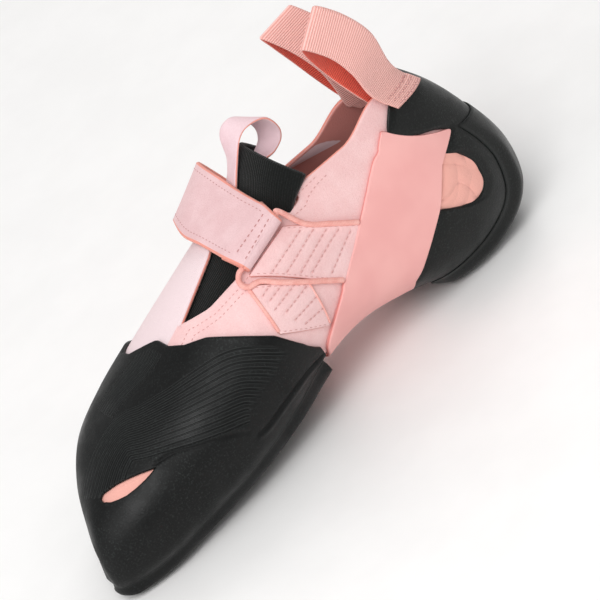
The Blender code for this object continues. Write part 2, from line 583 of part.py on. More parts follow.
def tongue(parts: bpy.types.Collection, knit: bpy.types.Material) -> None:
    """The padded tongue, from under the front of the throat to above the strap."""
    columns = 11
    base = np.array(TONGUE_BASE)
    turns = spread(base[:, 1], base[:, 2], columns)
    depth = -UPPER_WALL - 3.5 * CLEARANCE - TONGUE_THICKNESS / 2
    low = skin(base[:, :1] + 0.0 * turns, turns, depth)
    bend = np.radians(np.linspace(-76.0, 76.0, columns))
    rows = []
    for row in TONGUE_ROWS:
        fall = row.drop * INSTEP_HEIGHT * (1.0 - np.cos(bend) ** 0.5)
        side = np.where(bend < 0.0, row.inner_width, row.outer_width) * BALL_WIDTH * np.sin(bend)
        crest = place((row.crest_x, row.crest_y, row.crest_z))
        rows.append(crest + np.stack([row.slant * fall, side, -fall], -1))
    rail = np.concatenate([low, np.array(rows)])
    ribbon("tongue", flowing_line(rail, 17), TONGUE_THICKNESS, parts, knit)


class TapeRow(NamedTuple):
    """One place along a tape: its middle as shares like those of place(), and its width's direction."""
    x: float
    y: float
    z: float
    across_x: float
    across_y: float
    across_z: float


def tape_grid(rows: tuple, width: float, columns: int) -> np.ndarray:
    """Points along and across a tape from its rows."""
    table = np.array(rows)
    across = table[:, 3:] / np.linalg.norm(table[:, 3:], axis=-1, keepdims=True) * width / 2
    share = np.linspace(-1.0, 1.0, columns)[None, :, None]
    return place(table[:, :3])[:, None] + across[:, None] * share


HEEL_LOOP_INNER = (
    TapeRow(0.857, 0.125, 1.114, 0.80, 0.35, 0.05),
    TapeRow(0.850, 0.101, 1.273, 0.85, 0.10, 0.45),
    TapeRow(0.830, 0.113, 1.409, 0.75, 0.00, 0.66),
    TapeRow(0.800, 0.143, 1.511, 0.75, 0.00, 0.66),
    TapeRow(0.806, 0.195, 1.432, 0.75, 0.00, 0.60),
    TapeRow(0.826, 0.238, 1.284, 0.80, 0.10, 0.40),
    TapeRow(0.842, 0.230, 1.130, 0.80, 0.35, 0.05),
)
HEEL_LOOP_OUTER = (
    TapeRow(0.857, 0.440, 1.023, 0.85, -0.30, 0.12),
    TapeRow(0.848, 0.435, 1.159, 0.95, -0.10, 0.16),
    TapeRow(0.826, 0.458, 1.307, 0.98, 0.00, 0.16),
    TapeRow(0.797, 0.500, 1.432, 0.98, 0.00, 0.16),
    TapeRow(0.812, 0.560, 1.330, 0.98, 0.00, 0.16),
    TapeRow(0.834, 0.595, 1.182, 0.95, -0.10, 0.16),
    TapeRow(0.852, 0.571, 1.034, 0.85, -0.30, 0.12),
)


def heel_loops(parts: bpy.types.Collection, tape: bpy.types.Material) -> None:
    """The two pull loops, each straddling the collar's rim on one side of the heel."""
    outside = 3.0 * CLEARANCE + HEEL_RUBBER + CUP_SAG + HEEL_TAPE_THICKNESS / 2
    inside = -UPPER_WALL - 2.0 * CLEARANCE - HEEL_TAPE_THICKNESS / 2
    sewn = np.array([16.35, 16.60, 16.85])
    loops = (("heel_loop_inner", HEEL_LOOP_INNER, (60.0, 27.0), outside, inside),
             ("heel_loop_outer", HEEL_LOOP_OUTER, (-60.0, -27.0), inside, outside))
    for name, rows, turns, start, end in loops:
        bend = np.linspace(*turns, 5)
        level = sewn[:, None] + 0.0 * bend
        rail = np.concatenate([skin(level, bend, start), tape_grid(rows, HEEL_TAPE_WIDTH, 5),
                               skin(level[::-1], bend, end)])
        ribbon(name, flowing_line(rail, 28), HEEL_TAPE_THICKNESS, parts, tape)


TONGUE_LOOP = (
    TapeRow(0.551, 0.415, 0.962, -0.10, 0.90, -0.06),
    TapeRow(0.571, 0.415, 0.983, 0.15, 0.90, -0.05),
    TapeRow(0.597, 0.420, 1.076, 0.10, 0.85, -0.12),
    TapeRow(0.617, 0.422, 1.184, -0.25, 0.80, 0.10),
    TapeRow(0.641, 0.422, 1.213, -0.30, 0.80, 0.20),
    TapeRow(0.668, 0.422, 1.180, -0.45, 0.70, 0.10),
    TapeRow(0.680, 0.422, 1.105, -0.50, 0.70, 0.10),
    TapeRow(0.674, 0.422, 1.048, -0.45, 0.70, 0.05),
    TapeRow(0.655, 0.420, 1.018, -0.35, 0.75, 0.00),
    TapeRow(0.636, 0.417, 1.010, -0.20, 0.85, -0.20),
    TapeRow(0.619, 0.413, 0.996, -0.15, 0.85, -0.40),
    TapeRow(0.606, 0.410, 0.950, -0.15, 0.85, -0.40),
)


def tongue_loop(parts: bpy.types.Collection, leather: bpy.types.Material) -> None:
    """The pull loop over the tongue's top edge."""
    grid = flowing_line(tape_grid(TONGUE_LOOP, TONGUE_TAPE_WIDTH, 3), 26)
    ribbon("tongue_pull_loop", grid, TONGUE_TAPE_THICKNESS, parts, leather)


def main() -> None:
    """Builds every piece of the shoe."""
    clear_scene()
    parts, cutters = new_collection("climbing_shoe"), new_collection("cutters")
    rubber = new_material("black rubber", "#1c1e1d", 0.55)
    smooth_rubber = new_material("salmon rubber", "#f2b4b0", 0.45)
    pale = new_material("pale microfibre", "#f3cccc", 0.85)
    felt = new_material("insole felt", "#c9a49f", 0.95)
    upper(parts, cutters, pale)
    toe_cap(parts, cutters, rubber)
    soles(parts, cutters, rubber)
    heel_cup(parts, rubber)
    sling(parts, smooth_rubber)
    side_panels(parts, pale)
    insole(parts, felt)
    knit = new_material("black knit", "#161817", 0.95)
    piping = new_material("salmon piping", "#f6bcb6", 0.60)
    tape = new_material("coral webbing", "#f2aaa0", 0.80)
    tongue(parts, knit)
    strap(parts, pale)
    tension_cord(parts, piping)
    tongue_loop(parts, pale)
    heel_loops(parts, tape)


main()
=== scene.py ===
"""The looks of a climbing shoe for the right foot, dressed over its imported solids.

Metres, +Z up, the toe along -X, the inner side of the foot along -Y. A place on the shoe's last is
a station (0 at the toe's tip, 17 at the heel's collar) and a turn (degrees around: 0 under the
foot, 90 on the inner side, 180 on the instep, negative on the outer side).
"""
import logging
import math
from dataclasses import dataclass, field
from enum import Enum
from typing import Dict, Optional, Sequence, Tuple, Union

import bpy
import numpy as np
from mathutils import Matrix


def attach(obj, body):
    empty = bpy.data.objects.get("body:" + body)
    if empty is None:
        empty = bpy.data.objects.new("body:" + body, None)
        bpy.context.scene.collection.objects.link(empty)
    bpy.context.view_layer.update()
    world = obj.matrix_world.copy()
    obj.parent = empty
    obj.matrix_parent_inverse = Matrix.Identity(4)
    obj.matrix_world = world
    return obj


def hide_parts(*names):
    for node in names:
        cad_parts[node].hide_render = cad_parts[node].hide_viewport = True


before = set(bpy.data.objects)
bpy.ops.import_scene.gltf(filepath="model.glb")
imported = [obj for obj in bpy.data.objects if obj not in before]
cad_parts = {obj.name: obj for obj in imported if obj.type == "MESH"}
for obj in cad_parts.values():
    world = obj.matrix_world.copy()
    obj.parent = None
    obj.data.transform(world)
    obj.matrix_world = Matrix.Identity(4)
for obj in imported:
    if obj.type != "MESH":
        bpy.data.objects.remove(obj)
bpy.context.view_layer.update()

Array = np.ndarray
Table = Sequence[Tuple[float, ...]]
LOG = logging.getLogger("climbing_shoe")
MM = 0.001
# How far the undersides of the covers stand from the last.
BED = 0.1 * MM
# What a cover's points may carry besides its walls: 0 where it doesn't apply.
MARKS = ("edge", "textile", "far", "fuzz", "sunk_shade", "rib", "ribbed", "crease")
Line = Tuple[Array, Array]
Socket = bpy.types.NodeSocket


class Slot(Enum):
    """The record's material slots."""
    BLACK_RUBBER = "black_rubber"
    SALMON_RUBBER = "salmon_rubber"
    PALE_MICROFIBRE = "pale_microfibre"
    INSOLE_FELT = "insole_felt"
    BLACK_KNIT = "black_knit"
    SALMON_PIPING = "salmon_piping"
    CORAL_WEBBING = "coral_webbing"


@dataclass(frozen=True)
class ShoeSizes:
    """The shoe's own sizes in metres, the same as those of its solids."""
    last_length: float = 0.2265
    ball_width: float = 0.0840
    instep_height: float = 0.0880
    heel_height: float = 0.0780
    heel_tab_rise: float = 0.0070
    upper_wall: float = 0.0020
    clearance: float = 0.00035
    toe_rubber: float = 0.0016
    heel_rubber: float = 0.0016
    sling_rubber: float = 0.0012
    sole_rubber: float = 0.0052
    flat_depth: float = 0.0004
    cup_sag: float = 0.0006
    panel: float = 0.0010
    insole: float = 0.0020
    tongue: float = 0.0024
    strap: float = 0.0014
    strap_fold: float = 0.0130
    cord: float = 0.0022
    heel_tape_width: float = 0.0165
    heel_tape: float = 0.0012
    tongue_tape_width: float = 0.0095
    tongue_tape: float = 0.0012
    middle_x: float = 0.11410
    middle_y: float = 0.02474

    @property
    def sole_outer(self) -> float:
        """How far the sole's underside stands from the last."""
        return self.clearance + self.sole_rubber


SIZES = ShoeSizes()

# Sections from toe to heel: base x, base rise, top x, top rise, base y, top y, inner and outer half
# width, belly, squareness under and over it, lean, roll and share of the heel tab.
SECTIONS = (
    (0.004, 0.0792, 0.004, 0.0702, 0.000, 0.000, 0.000, 0.000, 0.45, 2.2, 2.2, 0.35, 0.00, 0.00),
    (0.013, 0.038, 0.013, 0.163, 0.012, 0.018, 0.065, 0.083, 0.45, 2.2, 2.2, 0.35, 0.00, 0.00),
    (0.024, 0.015, 0.024, 0.250, 0.048, 0.054, 0.143, 0.179, 0.42, 2.5, 2.2, 0.35, 0.00, 0.00),
    (0.062, 0.000, 0.051, 0.350, 0.131, 0.119, 0.268, 0.333, 0.38, 2.8, 2.3, 0.28, 0.00, 0.00),
    (0.124, 0.003, 0.108, 0.441, 0.214, 0.202, 0.399, 0.429, 0.38, 3.0, 2.3, 0.20, 0.00, 0.00),
    (0.212, 0.023, 0.192, 0.528, 0.286, 0.250, 0.476, 0.470, 0.38, 3.0, 2.2, 0.14, 0.00, 0.00),
    (0.309, 0.049, 0.287, 0.619, 0.321, 0.274, 0.506, 0.488, 0.38, 2.9, 2.1, 0.08, 0.00, 0.00),
    (0.411, 0.094, 0.380, 0.727, 0.333, 0.280, 0.482, 0.470, 0.40, 2.6, 2.0, 0.00, 0.00, 0.00),
    (0.517, 0.164, 0.468, 0.835, 0.333, 0.286, 0.423, 0.429, 0.42, 2.5, 2.0, 0.00, 0.00, 0.00),
    (0.618, 0.171, 0.521, 0.903, 0.339, 0.298, 0.375, 0.381, 0.42, 2.5, 2.0, 0.00, 0.00, 0.00),
    (0.715, 0.106, 0.536, 0.932, 0.339, 0.304, 0.351, 0.351, 0.42, 2.5, 2.0, 0.00, 0.00, 0.00),
    (0.812, 0.010, 0.545, 0.943, 0.345, 0.310, 0.339, 0.333, 0.40, 2.5, 2.1, 0.00, 0.00, 0.00),
    (0.905, 0.004, 0.550, 0.943, 0.345, 0.315, 0.327, 0.321, 0.40, 2.3, 2.2, 0.00, 0.00, 0.00),
    (0.976, 0.100, 0.552, 0.932, 0.345, 0.321, 0.310, 0.304, 0.40, 2.2, 2.3, 0.00, 0.02, 0.00),
    (1.000, 0.318, 0.552, 0.915, 0.345, 0.327, 0.286, 0.280, 0.40, 2.1, 2.4, 0.00, 0.06, 0.00),
    (0.985, 0.562, 0.550, 0.892, 0.345, 0.333, 0.262, 0.250, 0.41, 2.1, 2.5, 0.00, 0.13, 0.14),
    (0.949, 0.779, 0.545, 0.858, 0.345, 0.339, 0.248, 0.226, 0.43, 2.1, 2.6, 0.00, 0.24, 0.57),
    (0.905, 0.936, 0.539, 0.818, 0.345, 0.345, 0.238, 0.214, 0.45, 2.2, 2.6, 0.00, 0.34, 1.00),
)
LAST_ROW = len(SECTIONS) - 1

# Edges: each pair is a station and the turn of the edge there.
THROAT_START = 6.7
THROAT_INNER = ((0.0, 172.0), (THROAT_START, 172.0), (6.85, 167.0), (7.2, 158.0), (7.9, 149.0),
                (8.9, 145.0), (10.5, 150.5), (12.0, 147.0), (13.5, 138.5), (15.0, 128.0), (16.0, 122.0),
                (17.0, 116.0))
THROAT_OUTER = ((0.0, -188.0), (THROAT_START, -188.0), (7.9, -181.0), (8.6, -172.0), (9.4, -156.0),
                (10.5, -146.0), (12.0, -139.0), (13.5, -132.0), (15.0, -124.0), (16.0, -118.0),
                (17.0, -112.0))
SOLE_TURN = 62.0
TOE_EDGE = ((-298.0, 8.0), (-285.0, 8.0), (-265.0, 7.75), (-248.0, 7.55), (-230.0, 7.2), (-220.0, 7.0),
            (-210.0, 6.8), (-200.0, 6.5), (-190.0, 6.32), (-180.0, 6.28), (-170.0, 6.0), (-162.0, 5.8),
            (-150.0, 5.75), (-120.0, 6.1), (-90.0, 6.8), (-62.0, 7.3))
HEEL_EDGE = ((10.15, 44.0), (10.40, 62.0), (10.80, 73.0), (11.60, 83.0), (12.30, 87.0), (12.90, 88.0),
             (12.98, 75.0), (13.15, 64.0), (13.50, 58.0), (13.85, 56.5), (14.20, 57.5), (14.50, 62.0),
             (14.62, 68.0), (14.90, 61.0), (15.12, 54.0), (15.26, 58.0), (15.40, 68.0), (15.60, 75.0),
             (15.85, 77.0), (16.05, 75.5), (16.40, 63.0), (16.70, 45.0), (17.00, 14.0))
SLING_FRONT = ((16.20, 77.5), (13.68, 108.7), (11.62, 110.3), (9.53, 92.7), (8.10, 69.0), (8.06, 40.0),
               (8.06, 20.0), (8.06, 0.0))
SLING_BACK = ((16.16, 77.0), (15.70, 75.5), (15.36, 70.0), (15.17, 60.0), (15.10, 51.0), (14.36, 76.0),
              (13.12, 86.4), (11.54, 81.7), (10.43, 60.2), (10.10, 30.0), (10.06, 0.0))


def between(table: Table, at: Array) -> Array:
    """Reads an edge table of pairs at any places, straight between its rows."""
    places, values = zip(*table)
    return np.interp(at, places, values)


def smooth_step(value: Array) -> Array:
    """Eases from 0 to 1 as the value goes from 0 to 1."""
    held = np.clip(value, 0.0, 1.0)
    return held * held * (3.0 - 2.0 * held)


def window(value: Array, low: float, high: float, ease: float) -> Array:
    """Is 1 between two values and 0 outside them, eased at both ends."""
    return smooth_step((value - low) / ease) * smooth_step((high - value) / ease)


def run_length(points: Array) -> Array:
    """How far along a line of points each of them lies."""
    return np.concatenate([[0.0], np.cumsum(np.linalg.norm(np.diff(points, axis=0), axis=-1))])


def strip(stations: Array, low: Array, high: Array, columns: int) -> Tuple[Array, Array]:
    """Spreads turns evenly from a low to a high edge: a grid of stations and one of turns."""
    turns = low[:, None] + (high - low)[:, None] * np.linspace(0.0, 1.0, columns)
    return np.broadcast_to(stations[:, None], turns.shape), turns


def unit(vectors: Array) -> Array:
    """Scales vectors to a length of one."""
    return vectors / np.maximum(np.linalg.norm(vectors, axis=-1, keepdims=True), 1e-12)


def cubic(before: Array, here: Array, there: Array, after: Array, step: Array) -> Array:
    """Goes smoothly from here to there, sloped at each end by the rows on both sides of it."""
    leaving, arriving = (there - before) / 2, (after - here) / 2
    return (here + leaving * step + (3 * (there - here) - 2 * leaving - arriving) * step ** 2
            + (2 * (here - there) + leaving + arriving) * step ** 3)


def flowing_at(points: Union[Array, Table], places: Array) -> Array:
    """Reads a smooth cubic through rows of values at any places, counted in rows."""
    rows = np.asarray(points, float)
    last = len(rows) - 1
    held = np.clip(places, 0.0, last - 1e-9)
    row = np.floor(held).astype(int)
    step = (held - row).reshape(held.shape + (1,) * (rows.ndim - 1))
    before, here, there, after = (rows[np.clip(row + shift, 0, last)] for shift in (-1, 0, 1, 2))
    return cubic(before, here, there, after, step)


def flowing_line(points: Union[Array, Table], steps: int) -> Array:
    """Reads a smooth cubic through rows of values, at evenly spread places."""
    return flowing_at(points, np.linspace(0.0, len(points) - 1, steps))


def even_line(table: Union[Array, Table], steps: int, rounds: int) -> Array:
    """Spreads places evenly along a line of stations and turns, then eases its corners.

    Args:
        table: Pairs of station and turn.
        steps: Number of places.
        rounds: How often each place is eased towards its neighbours.

    Returns:
        The places.
    """
    rows = np.asarray(table, float)
    length = run_length(rows * (12.0, 0.75))
    spots = np.linspace(0.0, length[-1], steps)
    line = np.stack([np.interp(spots, length, rows[:, column]) for column in (0, 1)], -1)
    for _ in range(rounds):
        line[1:-1] = (line[:-2] + 2.0 * line[1:-1] + line[2:]) / 4.0
    return line


class Last:
    """The form that the shoe is laid over."""

    def __init__(self, sizes: ShoeSizes) -> None:
        """Turns the section shares into lengths.

        Args:
            sizes: The shoe's own sizes.
        """
        units = np.array([sizes.last_length, sizes.heel_height, sizes.last_length, sizes.instep_height,
                          sizes.ball_width, sizes.ball_width, sizes.ball_width, sizes.ball_width,
                          1.0, 1.0, 1.0, 1.0, 1.0, sizes.heel_tab_rise])
        self.sizes = sizes
        self.table = np.array(SECTIONS) * units
        self.table[0, 3] = self.table[0, 1]
        self.floor = sizes.sole_outer - sizes.flat_depth
        self.tip = self.slope_normal(np.full(24, 0.15), np.arange(24) * 15.0).mean(0)
        self.tip /= np.linalg.norm(self.tip)

    def surface(self, station: Array, turn: Array) -> Array:
        """Points of the last: each section is two half superellipses, one under and one over its belly.

        Args:
            station: Places along the last.
            turn: Degrees around it, of the same shape.

        Returns:
            Points, with a last axis of three.
        """
        station, turn = np.broadcast_arrays(np.asarray(station, float), np.asarray(turn, float))
        (base_x, base_rise, top_x, top_rise, base_y, top_y, inner, outer, belly, low, high, lean, roll,
         tab) = np.moveaxis(flowing_at(self.table, station), -1, 0)
        angle = np.radians(turn)
        upright, sideways = np.cos(angle), np.sin(angle)
        power = 2.0 / np.where(upright > 0.0, low, high)
        upright_share, side_share = np.abs(upright) ** power, np.abs(sideways) ** power
        height = np.where(upright > 0.0, belly * (1.0 - upright_share), belly + (1.0 - belly) * upright_share)
        side = np.where(sideways > 0.0, -inner, outer) * side_share
        tab_share = 1.0 - smooth_step((height - 0.20) / 0.25)
        x = base_x + (top_x - base_x) * height + lean * side - self.sizes.middle_x
        y = base_y + (top_y - base_y) * height + side - self.sizes.middle_y
        z = self.floor + base_rise + (top_rise - base_rise) * height - roll * side + tab * tab_share
        return np.stack([x, y, z], -1)

    def slope_normal(self, station: Array, turn: Array) -> Array:
        """Outward directions from the slopes along and around."""
        held = np.clip(station, 0.15, LAST_ROW - 0.05)
        along = self.surface(held + 0.05, turn) - self.surface(held - 0.05, turn)
        around = self.surface(held, turn + 2.5) - self.surface(held, turn - 2.5)
        return unit(np.cross(along, around))

    def normal(self, station: Array, turn: Array) -> Array:
        """Outward directions, drawn together into one at the tip of the toe."""
        share = smooth_step(np.asarray(station, float) / 0.5)[..., None]
        return unit(self.tip + (self.slope_normal(station, turn) - self.tip) * share)

    def skin(self, station: Array, turn: Array, offset: Union[float, Array]) -> Array:
        """Points at a distance outside the last, or inside where the distance is negative."""
        station, turn = np.broadcast_arrays(np.asarray(station, float), np.asarray(turn, float))
        lift = np.broadcast_to(np.asarray(offset, float), station.shape)[..., None]
        return self.surface(station, turn) + lift * self.normal(station, turn)

    def settle(self, points: Array, places: Array) -> Array:
        """Slides places over the last until each is the nearest one to its point.

        Args:
            points: The points to come near to.
            places: First guesses of station and turn.

        Returns:
            The settled places.
        """
        for _ in range(14):
            station, turn = places[..., 0], places[..., 1]
            along = (self.surface(station + 0.02, turn) - self.surface(station - 0.02, turn)) / 0.04
            around = self.surface(station, turn + 0.5) - self.surface(station, turn - 0.5)
            gap = points - self.surface(station, turn)
            long_long, round_round = np.sum(along * along, -1), np.sum(around * around, -1)
            long_round, long_gap, round_gap = (np.sum(first * second, -1) for first, second in
                                               ((along, around), (along, gap), (around, gap)))
            spread = long_long * round_round - long_round ** 2
            step = np.stack([long_gap * round_round - round_gap * long_round,
                             round_gap * long_long - long_gap * long_round], -1)
            places = places + 0.7 * step / spread[..., None]
        return places

    def patch(self, corners: Array, rows: int, columns: int) -> Array:
        """Places of a four-cornered patch pulled flat over the last.

        Args:
            corners: Station and turn of its corners, two by two.
            rows: Number of rows.
            columns: Number of columns.

        Returns:
            A grid of station and turn.
        """
        corners = np.asarray(corners, float)
        low = np.linspace(0.0, 1.0, rows)[:, None, None]
        side = np.linspace(0.0, 1.0, columns)[None, :, None]
        grids = []
        for value in (self.surface(corners[..., 0], corners[..., 1]), corners):
            top = value[0, 0] + (value[0, 1] - value[0, 0]) * side
            bottom = value[1, 0] + (value[1, 1] - value[1, 0]) * side
            grids.append(top + (bottom - top) * low)
        return self.settle(*grids)

    def straight(self, places: Union[Array, Table]) -> Array:
        """Pulls the run between each place and the next straight over the last."""
        rows = np.asarray(places, float)
        corners = np.stack([rows[:-1], rows[1:]], 1)
        share = np.linspace(0.0, 1.0, 25)[None, :, None]
        ends = self.surface(corners[..., 0], corners[..., 1])
        chords = ends[:, :1] + (ends[:, 1:] - ends[:, :1]) * share
        guesses = corners[:, :1] + (corners[:, 1:] - corners[:, :1]) * share
        return self.settle(chords, guesses).reshape(-1, 2)

    def thread(self, places: Array, offset: float) -> Line:
        """Points over the last at pairs of station and turn, and the outward directions there."""
        station, turn = places[..., 0], places[..., 1]
        return self.skin(station, turn, offset), self.normal(station, turn)

    def seam(self, start: Sequence[float], end: Sequence[float], offset: float) -> Line:
        """A straight seam over the last: its points and the outward directions there."""
        return self.thread(self.patch([[start, end], [start, end]], 2, 60)[0], offset)

    def line(self, table: Table, steps: int) -> Array:
        """Points of the last along a smooth line through stations and turns."""
        return self.thread(flowing_line(table, steps), 0.0)[0]


LAST = Last(SIZES)


def place(shares: Union[Array, Table]) -> Array:
    """Points off the last, as shares of its length, the ball's width and the instep's height."""
    return (np.asarray(shares, float) * (SIZES.last_length, SIZES.ball_width, SIZES.instep_height)
            - (SIZES.middle_x, SIZES.middle_y, 0.0))


def cloth_of(points: Array) -> Array:
    """Unrolls a grid: metres across its rows and along its middle column, from its middle.

    Args:
        points: A grid of points.

    Returns:
        Pairs of lengths, the first across and the second along.
    """
    across = np.linalg.norm(np.diff(points, axis=1), axis=-1)
    across = np.concatenate([np.zeros((len(points), 1)), np.cumsum(across, 1)], 1)
    across -= across[:, [points.shape[1] // 2]]
    along = run_length(points[:, points.shape[1] // 2])
    return np.stack([across, np.broadcast_to(along[:, None], across.shape)], -1)


def grid_normals(points: Array) -> Array:
    """Directions square to a grid, from its slopes along and across."""
    return unit(np.cross(np.gradient(points, axis=0), np.gradient(points, axis=1)))


def read_grid(grid: Array, rows: Array, columns: Array) -> Array:
    """Reads a grid at places between its points, in shares from 0 to 1 along and across."""
    row = np.clip(rows, 0.0, 1.0) * (grid.shape[0] - 1)
    column = np.clip(columns, 0.0, 1.0) * (grid.shape[1] - 1)
    down = np.clip(np.floor(row).astype(int), 0, grid.shape[0] - 2)
    right = np.clip(np.floor(column).astype(int), 0, grid.shape[1] - 2)
    low, side = (row - down)[..., None], (column - right)[..., None]
    top = grid[down, right] * (1 - side) + grid[down, right + 1] * side
    bottom = grid[down + 1, right] * (1 - side) + grid[down + 1, right + 1] * side
    return top * (1 - low) + bottom * low


def nearest_on(points: Array, line: Array) -> Tuple[Array, Array, Array]:
    """Finds the nearest place of a line of points.

    Args:
        points: Any number of points.
        line: The line's points in order.

    Returns:
        The distance, the place along the line in shares, and the step from the line to each point.
    """
    flat = points.reshape(-1, 1, 3)
    start, run = line[:-1], np.diff(line, axis=0)
    share = np.clip(np.sum((flat - start) * run, -1) / np.maximum(np.sum(run * run, -1), 1e-12), 0.0, 1.0)
    step = flat - (start + share[..., None] * run)
    reach = np.linalg.norm(step, axis=-1)
    best = reach.argmin(1)
    pick = np.arange(len(reach))
    shape = points.shape[:-1]
    along = (best + share[pick, best]) / len(run)
    return reach[pick, best].reshape(shape), along.reshape(shape), step[pick, best].reshape(points.shape)


def signed_from(points: Array, normals: Array, line: Array) -> Tuple[Array, Array]:
    """Distance to a line on a surface, positive on its left seen from outside, and the place along it."""
    reach, along, step = nearest_on(points, line)
    run = np.gradient(line, axis=0)
    place_row = np.clip(np.round(along * (len(line) - 1)).astype(int), 0, len(line) - 1)
    left = np.cross(normals, run[place_row])
    return np.where(np.sum(step * left, -1) >= 0.0, reach, -reach), along


def welded(points: Array, size: float) -> Array:
    """Numbers points so that those that fall together within a size share a number."""
    grains = np.round(points.reshape(-1, 3) / size).astype(np.int64)
    return np.unique(grains, axis=0, return_inverse=True)[1].reshape(-1)


def quad_mesh(name: str, points: Array, corner: Array, cloth: Array) -> bpy.types.Mesh:
    """Makes a smooth mesh of four-cornered faces, of which a doubled corner makes a triangle.

    Args:
        name: The mesh's name.
        points: Its points.
        corner: Rows of four point numbers.
        cloth: The cloth map's pair of lengths at each of those corners.

    Returns:
        The mesh.
    """
    doubled = corner == np.roll(corner, -1, 1)
    whole, once = ~doubled.any(1), doubled.sum(1) == 1
    single = ~doubled[once]
    numbers = np.concatenate([corner[whole].reshape(-1), corner[once][single]])
    lengths = np.concatenate([cloth[whole].reshape(-1, 2), cloth[once][single]])
    totals = np.concatenate([np.full(whole.sum(), 4), np.full(once.sum(), 3)])
    starts = np.concatenate([[0], np.cumsum(totals)[:-1]])
    mesh = bpy.data.meshes.new(name)
    mesh.vertices.add(len(points))
    mesh.vertices.foreach_set("co", points.reshape(-1))
    mesh.loops.add(len(numbers))
    mesh.loops.foreach_set("vertex_index", numbers.astype(np.int32))
    mesh.polygons.add(len(totals))
    mesh.polygons.foreach_set("loop_start", starts.astype(np.int32))
    mesh.polygons.foreach_set("loop_total", totals.astype(np.int32))
    mesh.update(calc_edges=True)
    mesh.uv_layers.new(name="cloth").data.foreach_set("uv", lengths.reshape(-1))
    mesh.shade_smooth()
    return mesh


@dataclass
class Shell:
    """A closed skin between an outer and an inner grid of points, with a rounded rim.

    Points that fall together, as at a tip or along a closed ring, are one. Cells left out of keep
    are openings, which get a rim too.
    """
    outer: Array
    inner: Array
    cloth: Array
    marks: Dict[str, Array] = field(default_factory=dict)
    keep: Optional[Array] = None
    roundness: float = 0.7

    @classmethod
    def over(cls, stations: Array, turns: Array, low: Union[float, Array], high: Union[float, Array],
             **settings) -> "Shell":
        """A layer over the last, from a low to a high distance outside it."""
        outer = LAST.skin(stations, turns, high)
        return cls(outer, LAST.skin(stations, turns, low), cloth_of(outer), **settings)

    def faces(self) -> Tuple[Array, Array]:
        """Corner numbers of the kept cells, and the directed edges around them."""
        rows, columns = self.outer.shape[:2]
        number = np.arange(rows * columns).reshape(rows, columns)
        quads = np.stack([number[:-1, :-1], number[1:, :-1], number[1:, 1:], number[:-1, 1:]], -1)
        quads = quads.reshape(-1, 4) if self.keep is None else quads[self.keep]
        edges = np.stack([quads, np.roll(quads, -1, 1)], -1).reshape(-1, 2)
        return quads, edges

    def build(self, name: str, rim_marks: Dict[str, float]) -> bpy.types.Mesh:
        """Makes the mesh with its cloth map and its marks.

        Args:
            name: The mesh's name.
            rim_marks: Values of marks at the middle of the rim.

        Returns:
            The mesh.
        """
        flat = self.outer.reshape(-1, 3)
        same = welded(flat, 2e-6)
        count = same.max() + 1
        quads, edges = self.faces()
        ends = same[edges]
        ends_key = ends[:, 0] * count + ends[:, 1]
        back_key = ends[:, 1] * count + ends[:, 0]
        free = ~np.isin(ends_key, back_key) & (ends[:, 0] != ends[:, 1])
        border = edges[free]
        spots, under = np.zeros((count, 3)), np.zeros((count, 3))
        spots[same], under[same] = flat, self.inner.reshape(-1, 3)
        start, end = same[border[:, 0]], same[border[:, 1]]
        lift = spots - under
        out = unit(np.cross(spots[end] - spots[start], lift[start] + lift[end]))
        outward = np.zeros((count, 3))
        np.add.at(outward, start, out)
        np.add.at(outward, end, out)
        outward = unit(outward)
        half = np.linalg.norm(lift, axis=-1, keepdims=True) / 2
        middle = (spots + under) / 2 + outward * half * self.roundness
        points = np.concatenate([spots, under, middle])

        corners = [same[quads], same[quads[:, ::-1]] + count,
                   np.stack([end, start, start + 2 * count, end + 2 * count], -1),
                   np.stack([end + 2 * count, start + 2 * count, start + count, end + count], -1)]
        sources = [quads, quads[:, ::-1], border[:, [1, 0, 0, 1]], border[:, [1, 0, 0, 1]]]
        corner, source = np.concatenate(corners), np.concatenate(sources)
        used = np.unique(corner)
        renumber = np.zeros(3 * count, int)
        renumber[used] = np.arange(len(used))
        mesh = quad_mesh(name, points[used], renumber[corner], self.cloth.reshape(-1, 2)[source])
        for mark in MARKS:
            outer_values = np.zeros(count)
            values = np.broadcast_to(self.marks.get(mark, 0.0), self.outer.shape[:2])
            outer_values[same] = values.reshape(-1)
            whole_values = np.tile(outer_values, 3)
            if mark in rim_marks:
                whole_values[2 * count:] = rim_marks[mark]
            mesh.attributes.new(mark, "FLOAT", "POINT").data.foreach_set("value", whole_values[used])
        walls = np.repeat([0.0, 1.0, 0.5], count)
        mesh.attributes.new("inside", "FLOAT", "POINT").data.foreach_set("value", walls[used])
        return mesh


def ribbon_shell(centre: Array, thickness: Union[float, Array], marks: Optional[Dict[str, Array]] = None,
                 roundness: float = 0.8) -> Shell:
    """Thickens a grid of points to both sides of it."""
    half = np.broadcast_to(np.asarray(thickness, float) / 2, centre.shape[:2])
    lift = grid_normals(centre) * half[..., None]
    return Shell(centre + lift, centre - lift, cloth_of(centre), marks or {}, None, roundness)


